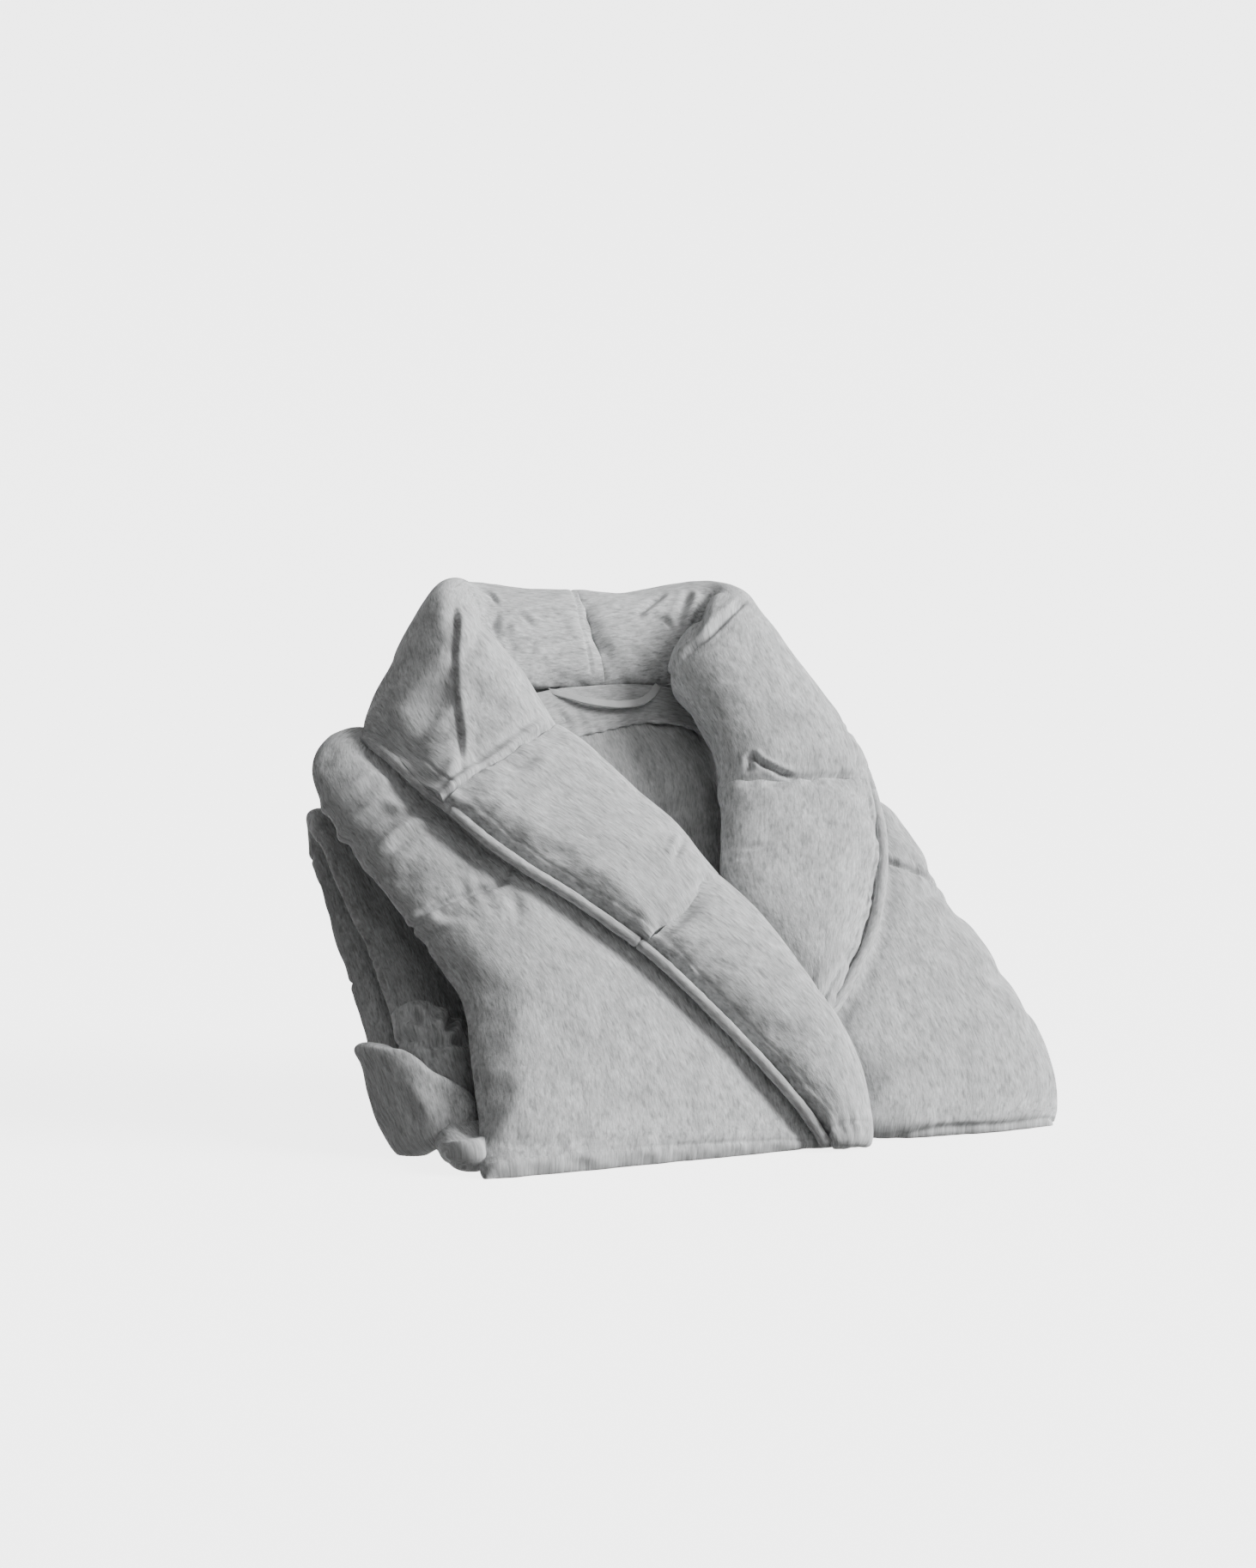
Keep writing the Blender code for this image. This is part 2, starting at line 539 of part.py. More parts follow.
def skirt_base():
    """The roll under the leaf and the last fold on the floor carry the bundle."""
    front = -FRONT_REACH
    lip = GAP - FRONT_TOP / math.sin(SLOPE)
    heights = [0.003, 0.010, TURN_HEIGHT]
    profile = [(front + lip + FOOT_TUCK, 0.0)]
    profile += [(front + lip + z / math.tan(SLOPE), z) for z in heights]
    profile += [(front + TURN_DEPTH, TURN_HEIGHT), (front + TURN_DEPTH, 0.0)]
    stations = [(-1.07, 0.010), (-1.04, 0.0), (0.0, 0.0), (0.94, 0.0), (0.975, 0.010)]
    verts = []
    for share, inset in stations:
        for y, z in profile:
            kept = min(max(y, front + lip + inset), front + TURN_DEPTH - inset)
            lowered = inset * END_TAPER if z > TURN_HEIGHT / 2 else 0.0
            verts.append((share * HALF_WIDTH, kept, z - lowered))
    count = len(profile)
    faces = [tuple(range(count))]
    for i in range(len(stations) - 1):
        for j in range(count):
            k = (j + 1) % count
            faces.append((i * count + j, i * count + k, (i + 1) * count + k, (i + 1) * count + j))
    last = (len(stations) - 1) * count
    faces.append(tuple(range(last + count - 1, last - 1, -1)))
    mesh = mesh_from("skirt_bottom_turn", verts, faces)
    add_object("skirt_bottom_turn", mesh, "shell_jersey", None)
    near = front + TURN_DEPTH + GAP
    far = near + TAIL_REACH
    block("skirt_tail", (TAIL_RIGHT, near, 0.0), (TAIL_LEFT, far, TAIL_HEIGHT), TAIL_SOFTEN,
          "shell_jersey")
    block("skirt_hem", (TAIL_RIGHT + HEM_INSET, far + GAP, 0.0),
          (TAIL_LEFT - HEM_INSET, far + GAP + HEM_DEPTH, HEM_HEIGHT), HEM_SOFTEN, "rib_binding")


def build():
    clear_scene()
    make_materials()
    bundle = bpy.data.objects.new("leaf_frame", None)
    bpy.context.collection.objects.link(bundle)
    bundle.location = (0.0, -FRONT_REACH, 0.0)
    bundle.rotation_euler = (SLOPE, 0.0, 0.0)
    front_panels(bundle)
    sleeve_heads(bundle)
    back_panel(bundle)
    facing_top = neck_facing(bundle)
    hanging_loop(bundle, facing_top)
    collar(bundle)
    lapels(bundle)
    lapel_right_band(bundle)
    piping(bundle)
    sleeves(bundle)
    skirt_folds(bundle)
    pockets_and_belt(bundle)
    skirt_base()


build()
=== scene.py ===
"""Padded shawl-collar bathrobe, folded and leaning back: the cloth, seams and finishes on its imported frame.

Pattern points are in the leaf frame: across the bundle, up the slope from the floor, and out of the
leaf. They are written in millimetres inside mm() and used in metres. Right and left are the wearer's.
"""

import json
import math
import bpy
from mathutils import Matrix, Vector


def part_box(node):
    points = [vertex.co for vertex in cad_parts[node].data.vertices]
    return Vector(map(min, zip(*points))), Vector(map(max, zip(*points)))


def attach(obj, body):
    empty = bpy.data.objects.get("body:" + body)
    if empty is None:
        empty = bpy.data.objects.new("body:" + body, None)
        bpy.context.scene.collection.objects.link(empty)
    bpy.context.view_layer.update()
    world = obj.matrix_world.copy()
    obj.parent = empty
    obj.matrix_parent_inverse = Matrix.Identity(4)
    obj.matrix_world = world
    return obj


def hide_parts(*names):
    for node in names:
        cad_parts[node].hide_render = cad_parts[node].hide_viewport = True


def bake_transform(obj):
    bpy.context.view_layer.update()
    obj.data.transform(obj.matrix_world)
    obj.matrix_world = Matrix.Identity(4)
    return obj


bl_info = {
    "name": "Folded padded bathrobe",
    "version": (1, 0, 0),
    "blender": (4, 5, 0),
    "location": "3D View > Sidebar > Robe",
    "description": "Builds the padded cloth, bindings, seams and finishes of a folded bathrobe",
    "category": "Object",
}

import bpy
import numpy as np
from mathutils import Vector
from mathutils.bvhtree import BVHTree

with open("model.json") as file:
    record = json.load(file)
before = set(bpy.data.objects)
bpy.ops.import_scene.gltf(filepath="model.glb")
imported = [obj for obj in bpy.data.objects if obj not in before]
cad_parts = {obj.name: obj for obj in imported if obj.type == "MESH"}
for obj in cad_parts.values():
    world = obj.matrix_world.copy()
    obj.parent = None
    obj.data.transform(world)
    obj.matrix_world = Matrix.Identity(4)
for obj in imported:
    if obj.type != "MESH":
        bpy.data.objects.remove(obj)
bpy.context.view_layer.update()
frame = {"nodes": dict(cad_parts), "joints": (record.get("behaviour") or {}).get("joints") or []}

# The leaf frame, from the left lapel's hinge: it runs up the leaf at a known place.

JOINTS = {joint["name"]: joint for joint in frame["joints"]}
LEFT_HINGE_UP = 0.114        # how far up the leaf the left lapel's hinge starts
LEFT_HINGE_DEPTH = 0.0075
ACROSS = Vector((1.0, 0.0, 0.0))
UP = -Vector(JOINTS["lapel_left_roll"]["axis"]).normalized()
OUT = ACROSS.cross(UP)
HINGE_FOOT = Vector(JOINTS["lapel_left_roll"]["pos_m"])
ORIGIN = HINGE_FOOT - ACROSS * HINGE_FOOT.x - UP * LEFT_HINGE_UP - OUT * LEFT_HINGE_DEPTH
LEAF_AXES = np.array([ACROSS, UP, OUT])

# Cloth, padding and thread

BODY_PAD = 0.0225            # shell, wadding and lining of a body panel
LAPEL_PAD = 0.0195
COLLAR_PAD = 0.018
SLEEVE_PAD = 0.024
BINDING_RADIUS = 0.0043
TAPE_CLOTH = 0.0018
THREAD_RADIUS = 0.00032
STITCH_LENGTH = 0.0024
STITCH_PITCH = 0.0036
SEAM_PULL = 0.011            # how far apart a seam's small puckers are
COARSE = 0.0068              # mesh spacing while a pad is filled
TUBE_STEP = 0.0022
FILL_FRAMES = 18
SEAM_HOLD = 0.0045           # how near a seam the cloth is held while the wadding fills it
UNDER_WEAVE = 0.02           # moves the marl of the under cloth, so that it isn't the upper one's
FLOOR_GAP = 0.0006
CLEAR_OF_CLOTH = 0.12        # stitches are dropped onto the cloth from this far out
SLEEVE_DEPTH = -0.0845       # where the folded sleeves lie behind the leaf


def mm(points):
    """Pattern points written in millimetres, in metres."""
    return np.asarray(points, float) / 1000


# Lines shared by neighbouring pieces, from the hem upward

BINDING_RIGHT = mm([(31, 1, 6), (21, 29, 7.5), (1, 69, 7.5), (-22, 108, 7.5), (-47, 147, 7.5),
                    (-65.5, 171, 7.5), (-104, 210.5, 7.5), (-133, 236.5, 7.5), (-158, 262, 7.5),
                    (-179, 291.5, 6), (-192, 318, -4), (-202, 349.5, -17), (-208.5, 373, -30),
                    (-207.5, 388.5, -45), (-193, 395, -62)])
BINDING_LEFT = mm([(52, 93, 5), (74, 110, 7), (98, 136, 7.5), (120, 163, 7.5), (138, 193, 7.5),
                   (152.5, 226, 7.5), (162, 259, 7), (167.5, 294, 4), (170, 325, -1), (166.5, 350, -10),
                   (160.5, 374, -22), (153, 396, -36)])
LEFT_GROOVE = mm([(55.3, 105.2), (71.8, 123.3), (99.7, 154), (119.5, 181.7), (135.6, 211.2),
                  (147.9, 241.6), (154.7, 272.3), (154.1, 303.6)])
BAND_SEAM = mm([(-58, 167.5), (-25, 190), (9, 223.5)])
LAPEL_SEAM = mm([(-184, 296), (-163, 309.5), (-127, 330), (-82, 358)])
TUCK_SEAM = mm([(51, 301.5), (73, 299), (104, 298), (135, 298.5), (166, 300)])
RIGHT_ARMHOLE = mm([(-222.5, 212), (-211, 221), (-196, 226.5), (-172, 230), (-150, 236), (-128, 262)])
SHOULDER_FOLDS = mm([[(-260, 328), (-241, 331), (-220, 337), (-210, 328)],
                     [(-256, 299), (-234, 308), (-218, 312), (-204.5, 297)],
                     [(-236, 271), (-213, 287), (-192, 290.5), (-177, 268.6)]])
LEFT_ARMHOLE = mm([(210.5, 212), (190, 222), (168, 236), (150, 262), (138, 300)])
CENTRE_BACK = mm([(-1, 534), (-4, 523), (-9, 497), (-10.5, 470), (-11.5, 442)])

# The collar's turn with a lapel that rolls open: still body, moving body, and where it starts and ends;
# pieces given a turn are baked where they are, on no body

COLLAR_RIGHT_TURN = ("root", "flap_right", (-0.1138, 0.4467, 0.0), (-0.130, 0.3673, 0.0))
COLLAR_LEFT_TURN = ("root", "flap_left", (0.110, 0.432, 0.0), (0.110, 0.312, 0.0))
BAND_TURN = ("flap_right", "root", (-0.026, 0.190, 0.0075), (0.012, 0.112, 0.0075))


class RobeSizes(bpy.types.PropertyGroup):
    """Sizes of the sewing details."""

    fill: bpy.props.FloatProperty(
        name="Fill", description="How hard the wadding presses the cloth out", default=4.0, min=0.0)
    swell: bpy.props.FloatProperty(
        name="Swell", description="The furthest that filling moves the cloth",
        default=0.0045, unit="LENGTH")
    seam_depth: bpy.props.FloatProperty(
        name="Seam depth", description="How far a seam sinks into the padding",
        default=0.0030, unit="LENGTH")
    crease_depth: bpy.props.FloatProperty(
        name="Crease depth", description="Depth of the deepest crease in the collar",
        default=0.0032, unit="LENGTH")
    crumple: bpy.props.FloatProperty(
        name="Crumple", description="Height of the soft unevenness of the padding",
        default=0.0011, unit="LENGTH")


class RobeColours(bpy.types.PropertyGroup):
    """Base colours of the cloths."""

    shell: bpy.props.FloatVectorProperty(
        name="Shell", description="Marl jersey of the outside", subtype="COLOR",
        default=(0.505, 0.512, 0.515))
    lining: bpy.props.FloatVectorProperty(
        name="Lining", description="Jersey of the lining and the neck facing", subtype="COLOR",
        default=(0.455, 0.461, 0.463))
    binding: bpy.props.FloatVectorProperty(
        name="Binding", description="Padded binding along the collar", subtype="COLOR",
        default=(0.490, 0.496, 0.499))
    thread: bpy.props.FloatVectorProperty(
        name="Thread", description="Top-stitching thread", subtype="COLOR",
        default=(0.400, 0.405, 0.408))


class RobeStage(bpy.types.PropertyGroup):
    """The floor, the lights and the camera."""

    floor: bpy.props.FloatVectorProperty(
        name="Floor", description="Floor and backdrop", subtype="COLOR",
        default=(0.50, 0.50, 0.50))
    key: bpy.props.FloatProperty(
        name="Key light", description="Strength of the soft key light", default=6.9, min=0.0)
    fill: bpy.props.FloatProperty(
        name="Fill light", description="Strength of the weak light from the front",
        default=0.60, min=0.0)
    room: bpy.props.FloatProperty(
        name="Room light", description="Strength of the even light of the room",
        default=0.11, min=0.0)
    glow: bpy.props.FloatProperty(
        name="Backdrop glow", description="How brightly the backdrop is lit from behind",
        default=3.9, min=0.0)
    lens: bpy.props.FloatProperty(
        name="Lens", description="Focal length in millimetres", default=70.0, min=20.0)


# Lines and grids

def to_world(points):
    return np.array(ORIGIN) + np.asarray(points, float) @ LEAF_AXES


def to_leaf(points):
    return (np.asarray(points, float) - np.array(ORIGIN)) @ LEAF_AXES.T


def spline(points, places):
    """A smooth line through points, read at places counted in points."""
    points = np.asarray(points, float)
    last = len(points) - 1
    before = 2 * points[:1] - points[1:2]
    after = 2 * points[-1:] - points[-2:-1]
    ring = np.concatenate([before, points, after])
    index = np.clip(np.floor(places).astype(int), 0, last - 1)
    t = (places - index).reshape((-1,) + (1,) * (points.ndim - 1))
    a, b, c, d = (ring[index + k] for k in range(4))
    return b + 0.5 * t * (c - a + t * (2 * a - 5 * b + 4 * c - d + t * (3 * (b - c) + d - a)))


def run_of(points):
    """Places along the first axis and how far each is from the start."""
    places = np.linspace(0, len(points) - 1, 24 * (len(points) - 1) + 1)
    steps = np.linalg.norm(np.diff(spline(points, places), axis=0), axis=-1)
    if steps.ndim > 1:
        steps = steps.mean(axis=tuple(range(1, steps.ndim)))
    return places, np.concatenate([[0.0], np.cumsum(steps)])


def even(points, step, start_rim=0.0, end_rim=0.0):
    """Places at even steps, closer together over a round rim at either end."""
    places, run = run_of(points)
    length = run[-1]
    turn = 1 - np.cos(np.radians([0.0, 28.0, 58.0, 90.0]))
    head = turn * start_rim if start_rim else np.array([0.0])
    tail = length - turn[::-1] * end_rim if end_rim else np.array([length])
    count = max(2, round((tail[0] - head[-1]) / step))
    middle = np.linspace(head[-1], tail[0], count + 1)[1:-1]
    wanted = np.concatenate([head, middle, tail])
    return np.interp(wanted, run, places), wanted


def smooth_line(points, step):
    places, _ = even(points, step)
    return spline(points, places)


def shift(line, distance):
    """The line moved sideways in the leaf; a positive distance goes to its right."""
    line = np.asarray(line, float)
    along = np.gradient(line[:, :2], axis=0)
    along /= np.linalg.norm(along, axis=1, keepdims=True)
    moved = line.copy()
    moved[:, 0] += along[:, 1] * distance
    moved[:, 1] -= along[:, 0] * distance
    return moved


def spread(left, right, shares, lifts, bulges=None):
    """Sections between two rails: each column is a share of the way across, lifted out of the leaf.

    A bulge lifts a column by a share of how much deeper the left rail lies than the right one.
    """
    left = np.asarray(left, float)
    right = np.asarray(right, float)
    drop = right[:, 2] - left[:, 2]
    columns = []
    for share, lift, bulge in zip(shares, lifts, bulges or [0.0] * len(shares)):
        column = left + (right - left) * share
        column[:, 2] += lift + bulge * drop
        columns.append(column)
    return np.stack(columns, axis=1)


def overlap(sections, foot, head):
    """The sections with the first and the last moved outward, so that two pads join in a fine line."""
    sections = np.array(sections, float)
    for end, inside, reach in ((0, 1, foot), (-1, -2, head)):
        way = sections[end] - sections[inside]
        sections[end] += way / np.linalg.norm(way, axis=1, keepdims=True) * reach
    return sections


def cloud(flat, size, seed):
    """Smooth seeded unevenness from -1 to 1, with lumps of about size."""
    cell = np.asarray(flat, float) / size
    low = np.floor(cell).astype(np.int64)
    part = cell - low
    part = part * part * (3 - 2 * part)

    def corner(dx, dy):
        mixed = (low[:, 0] + dx) * 374761393 + (low[:, 1] + dy) * 668265263 + seed * 982451653
        mixed = (mixed ^ (mixed >> 13)) * 1274126177
        mixed = mixed ^ (mixed >> 16)
        return (mixed & 0xFFFF) / 32767.5 - 1.0

    near = corner(0, 0) * (1 - part[:, 0]) + corner(1, 0) * part[:, 0]
    far = corner(0, 1) * (1 - part[:, 0]) + corner(1, 1) * part[:, 0]
    return near * (1 - part[:, 1]) + far * part[:, 1]


def beside(flat, line):
    """For each point: how far the line is, how far along it, and which side as -1 or 1."""
    line = np.asarray(line, float)[:, :2]
    best = np.full(len(flat), 1e9)
    along = np.zeros(len(flat))
    side = np.ones(len(flat))
    run = 0.0
    for a, b in zip(line[:-1], line[1:]):
        step = b - a
        length = math.hypot(*step)
        offset = flat - a
        share = np.clip(offset @ step / length ** 2, 0, 1)
        gap = np.linalg.norm(offset - share[:, None] * step, axis=1)
        closer = gap < best
        best[closer] = gap[closer]
        along[closer] = run + share[closer] * length
        cross = step[0] * offset[:, 1] - step[1] * offset[:, 0]
        side[closer] = np.where(cross[closer] > 0, 1.0, -1.0)
        run += length
    return best, along, side, run


def fade(along, run, length):
    """1 in the middle of a line, easing to 0 at its two ends."""
    near = np.clip(np.minimum(along, run - along) / length, 0, 1)
    return near * near * (3 - 2 * near)


# Sewing details, each as how far it moves the cloth out of the pad

def seam(flat, line, depth, width=0.0016, lips=0.30):
    """A sewn line: a narrow valley between two soft lips, with small puckers across it."""
    line = smooth_line(line, 0.004)
    gap, along, _, _ = beside(flat, line)
    pull = 1 + 0.35 * np.sin(along / SEAM_PULL * 2 * math.pi + 2.0 * np.sin(along / 0.037))
    valley = -depth * np.exp(-(gap / width) ** 2)
    bank = lips * depth * pull * np.exp(-((gap - 3.2 * width) / (2.0 * width)) ** 2)
    return valley + bank


def crease(flat, line, depth, width, lip=0.35, ends=0.02):
    """A fold pressed into the pad: deepest in its middle, with one bank higher than the other."""
    line = smooth_line(line, 0.004)
    gap, along, side, run = beside(flat, line)
    bank = np.exp(-((gap - 1.9 * width) / (1.3 * width)) ** 2) * (1 + 0.5 * side)
    return (lip * depth * bank - depth * np.exp(-(gap / width) ** 2)) * fade(along, run, ends)


def overhang(flat, line, height, reach, ends=0.02):
    """A fold that stands proud on the line's left and sinks on its right, dying out away from it."""
    line = smooth_line(line, 0.004)
    gap, along, side, run = beside(flat, line)
    rise = np.tanh(gap / 0.0010) * np.exp(-gap / reach)
    return height * side * rise * fade(along, run, ends)


def roll(flat, line, height, width, ends=0.02):
    """A soft ridge along a line."""
    line = smooth_line(line, 0.004)
    gap, along, _, run = beside(flat, line)
    return height * np.exp(-(gap / width) ** 2) * fade(along, run, ends)


def hollow(flat, line, depth, width):
    """A soft hollow along the whole of a line."""
    gap = beside(flat, smooth_line(line, 0.006))[0]
    return -depth * np.exp(-(gap / width) ** 2)


def puckers(flat, line, height, reach, pitch, seed=1):
    """Ripples that start at a line and die out away from it."""
    line = smooth_line(line, 0.004)
    gap, along, _, _ = beside(flat, line)
    wander = cloud(np.stack([along, gap * 0.5], axis=1), pitch * 2.3, seed)
    ripple = np.sin(along / pitch * 2 * math.pi + 2.2 * wander)
    return height * ripple * np.exp(-gap / reach) * (0.6 + 0.4 * wander)


def crumple(flat, height, seed):
    """The soft unevenness of wadding under jersey."""
    large = cloud(flat, 0.047, seed)
    middle = cloud(flat * (1.0, 0.8) + 3.1, 0.021, seed + 7)
    small = cloud(flat * (1.2, 0.7) + 7.7, 0.0085, seed + 13)
    return height * (large + 0.42 * middle + 0.13 * small)


def sewn(*steps):
    """A pad's detail: the sum of the steps, each a function and what it takes after the leaf points."""
    return lambda flat: sum(step(flat, *rest) for step, *rest in steps)


# Meshes

def new_object(name, mesh):
    piece = bpy.data.objects.new(name, mesh)
    bpy.context.scene.collection.objects.link(piece)
    return piece


def loft(name, sections, thickness, rims, step=COARSE):
    """A closed pad through sections of leaf points, with round rims at foot, head, left and right."""
    sections = np.asarray(sections, float)
    foot, head, left, right = rims
    rows, row_run = even(sections, step, foot, head)
    columns, column_run = even(sections.swapaxes(0, 1), step, left, right)
    middle = spline(spline(sections, rows).swapaxes(0, 1), columns).swapaxes(0, 1)
    depth = np.broadcast_to(np.asarray(thickness, float), (sections.shape[1],))
    half = np.interp(columns, np.arange(len(depth)), depth) / 2
    normal = np.cross(np.gradient(middle, axis=1), np.gradient(middle, axis=0))
    normal /= np.linalg.norm(normal, axis=2, keepdims=True) + 1e-12

    def rim(run, near, far):
        share = np.ones(len(run))
        if near:
            share = np.minimum(share, run / near)
        if far:
            share = np.minimum(share, (run[-1] - run) / far)
        return np.sqrt(np.clip(1 - (1 - share) ** 2, 0, 1))

    across = rim(column_run, left or 1e-4, right or 1e-4)
    upward = rim(row_run, foot or 1e-4, head or 1e-4)
    lift = normal * (half[None, :] * across[None, :] * upward[:, None])[:, :, None]
    top = (middle + lift).reshape(-1, 3)
    low = (middle - lift).reshape(-1, 3)
    count_rows, count_columns = middle.shape[:2]
    number = np.arange(count_rows * count_columns).reshape(count_rows, count_columns)
    inner = np.zeros_like(number, bool)
    inner[1:-1, 1:-1] = True
    under = number.copy()
    under[inner] = len(top) + np.arange(inner.sum())
    verts = np.concatenate([top, low[inner.ravel()]])
    faces = []
    for grid, flip in ((number, False), (under, True)):
        quads = np.stack([grid[:-1, :-1], grid[:-1, 1:], grid[1:, 1:], grid[1:, :-1]], axis=-1)
        quads = quads.reshape(-1, 4)
        faces.extend((quads[:, ::-1] if flip else quads).tolist())
    mesh = bpy.data.meshes.new(name)
    mesh.from_pydata(to_world(verts).tolist(), [], faces)
    piece = new_object(name, mesh)
    ruler = np.zeros((len(verts), 3))
    ruler[:, 0] = np.concatenate([np.tile(column_run, count_rows), np.zeros(inner.sum())])
    ruler[:, 1] = np.concatenate([np.repeat(row_run, count_columns), np.zeros(inner.sum())])
    ruler[len(top):] = ruler[:len(top)][inner.ravel()]
    ruler[len(top):, 2] = UNDER_WEAVE
    weave = mesh.attributes.new("weave", "FLOAT_VECTOR", "POINT")
    weave.data.foreach_set("vector", ruler.astype(np.float32).ravel())
    upper = np.ones(len(verts))
    upper[len(top):] = 0.0
    face_side = mesh.attributes.new("upper", "FLOAT", "POINT")
    face_side.data.foreach_set("value", upper.astype(np.float32))
    edge = np.zeros(len(verts))
    edge[:len(top)][~inner.ravel()] = 1.0
    rim_mark = mesh.attributes.new("rim", "FLOAT", "POINT")
    rim_mark.data.foreach_set("value", edge.astype(np.float32))
    return piece


def read(mesh, name, width=1):
    values = np.zeros(len(mesh.vertices) * width, np.float32)
    key = "vector" if width == 3 else "value"
    mesh.attributes[name].data.foreach_get(key, values)
    return values.reshape(-1, width) if width > 1 else values


def places_of(mesh):
    values = np.zeros(len(mesh.vertices) * 3, np.float32)
    mesh.vertices.foreach_get("co", values)
    return values.reshape(-1, 3).astype(float)


def directions_of(mesh):
    values = np.zeros(len(mesh.vertices) * 3, np.float32)
    mesh.vertex_normals.foreach_get("vector", values)
    return values.reshape(-1, 3).astype(float)


def place(mesh, points):
    mesh.vertices.foreach_set("co", points.astype(np.float32).ravel())
    mesh.update()


def evaluated(piece):
    """The piece's mesh with its modifiers applied."""
    graph = bpy.context.evaluated_depsgraph_get()
    graph.update()
    return bpy.data.meshes.new_from_object(piece.evaluated_get(graph), preserve_all_data_layers=True,
                                           depsgraph=graph)


def fill_with_wadding(piece, seams):
    """Presses the cloth out from inside as a cloth simulation, held along its rims and seams."""
    sizes = bpy.context.scene.robe_sizes
    mesh = piece.data
    start = places_of(mesh)
    flat = to_leaf(start)
    held = read(mesh, "rim").astype(float)
    for line in seams:
        gap = beside(flat[:, :2], smooth_line(line, 0.006))[0]
        held = np.maximum(held, np.exp(-(gap / SEAM_HOLD) ** 2))
    group = piece.vertex_groups.new(name="held")
    for index, weight in enumerate(held):
        if weight > 0.02:
            group.add([index], float(weight), "REPLACE")
    cloth = piece.modifiers.new("Cloth", "CLOTH")
    settings = cloth.settings
    settings.quality = 4
    settings.mass = 0.25
    settings.tension_stiffness = 12
    settings.compression_stiffness = 8
    settings.shear_stiffness = 5
    settings.bending_stiffness = 0.4
    settings.use_pressure = True
    settings.uniform_pressure_force = sizes.fill
    settings.shrink_min = -0.035
    settings.effector_weights.gravity = 0
    settings.vertex_group_mass = group.name
    cloth.collision_settings.use_collision = False
    scene = bpy.context.scene
    for number in range(1, FILL_FRAMES + 1):
        scene.frame_set(number)
    done = evaluated(piece)
    moved = places_of(done) - start
    far = np.linalg.norm(moved, axis=1, keepdims=True)
    moved *= np.minimum(1.0, sizes.swell / np.maximum(far, 1e-9))
    piece.modifiers.clear()
    piece.vertex_groups.clear()
    scene.frame_set(1)
    place(mesh, start + moved)
    bpy.data.meshes.remove(done)


def refine(piece, levels):
    """Smooth subdivision, applied."""
    smoother = piece.modifiers.new("Smooth", "SUBSURF")
    smoother.levels = levels
    smoother.render_levels = levels
    fine = evaluated(piece)
    piece.modifiers.clear()
    piece.data = fine
    fine.name = piece.name
    fine.shade_smooth()


def press(piece, detail, both_sides=False):
    """Moves the upper cloth by detail(flat), a length along its normal for each leaf point."""
    mesh = piece.data
    points = places_of(mesh)
    flat = to_leaf(points)
    share = np.ones(len(points)) if both_sides else read(mesh, "upper")
    moved = detail(flat[:, :2]) * share
    place(mesh, points + directions_of(mesh) * moved[:, None])


def keep_above_floor(piece):
    points = places_of(piece.data)
    points[:, 2] = np.maximum(points[:, 2], FLOOR_GAP)
    place(piece.data, points)


def finish_pad(piece, material, slot, body, *nodes, fill=0.6):
    """Gives a pad its cloth and, in place of its plain nodes, hangs it on its body when that is a name; a
    turn leaves it baked where it is.
    """
    keep_above_floor(piece)
    piece.data.materials.clear()
    piece.data.materials.append(bpy.data.materials[material])
    if isinstance(body, str):
        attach(piece, body)
    else:
        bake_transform(piece)
    if nodes:
        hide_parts(*nodes)


def sewn_pad(name, sections, thickness, rims, seams, detail, levels=2, step=COARSE):
    """Cuts, fills and sews one pad."""
    piece = loft(name, sections, thickness, rims, step)
    fill_with_wadding(piece, seams)
    refine(piece, levels)
    press(piece, detail)
    return piece


def tube(name, line, radius, squash=1.0, lump=0.0, sides=14, seed=3):
    """A padded tube along a line of leaf points, with domed ends and small puckers."""
    line = smooth_line(line, TUBE_STEP)
    world = to_world(line)
    along = np.gradient(world, axis=0)
    along /= np.linalg.norm(along, axis=1, keepdims=True)
    out = np.broadcast_to(np.array(OUT), world.shape)
    aside = np.cross(along, out)
    aside /= np.linalg.norm(aside, axis=1, keepdims=True)
    over = np.cross(aside, along)
    run = np.concatenate([[0.0], np.cumsum(np.linalg.norm(np.diff(world, axis=0), axis=1))])
    near = np.clip(np.minimum(run, run[-1] - run) / (0.35 * radius), 0, 1)
    dome = np.sqrt(np.clip(1 - (1 - near) ** 2, 0.04, 1))
    rings = []
    rulers = []
    for k in range(sides):
        angle = 2 * math.pi * k / sides
        place_on = np.stack([run, np.full(len(run), angle * radius)], axis=1)
        swell = 1 + lump * cloud(place_on, 0.0045, seed) + 0.5 * lump * cloud(place_on, 0.018, seed + 5)
        reach = radius * dome * swell
        rings.append(world + aside * (reach * math.cos(angle))[:, None]
                     + over * (reach * squash * math.sin(angle))[:, None])
        rulers.append(np.stack([np.full(len(run), angle * radius), run, np.zeros(len(run))], axis=1))
    verts = np.stack(rings, axis=1).reshape(-1, 3)
    count = len(run)
    faces = [list(range(sides))[::-1], list(range((count - 1) * sides, count * sides))]
    for i in range(count - 1):
        for k in range(sides):
            n = (k + 1) % sides
            faces.append([i * sides + k, i * sides + n, (i + 1) * sides + n, (i + 1) * sides + k])
    mesh = bpy.data.meshes.new(name)
    mesh.from_pydata(verts.tolist(), [], faces)
    weave = mesh.attributes.new("weave", "FLOAT_VECTOR", "POINT")
    weave.data.foreach_set("vector", np.stack(rulers, axis=1).astype(np.float32).ravel())
    mesh.shade_smooth()
    return new_object(name, mesh)


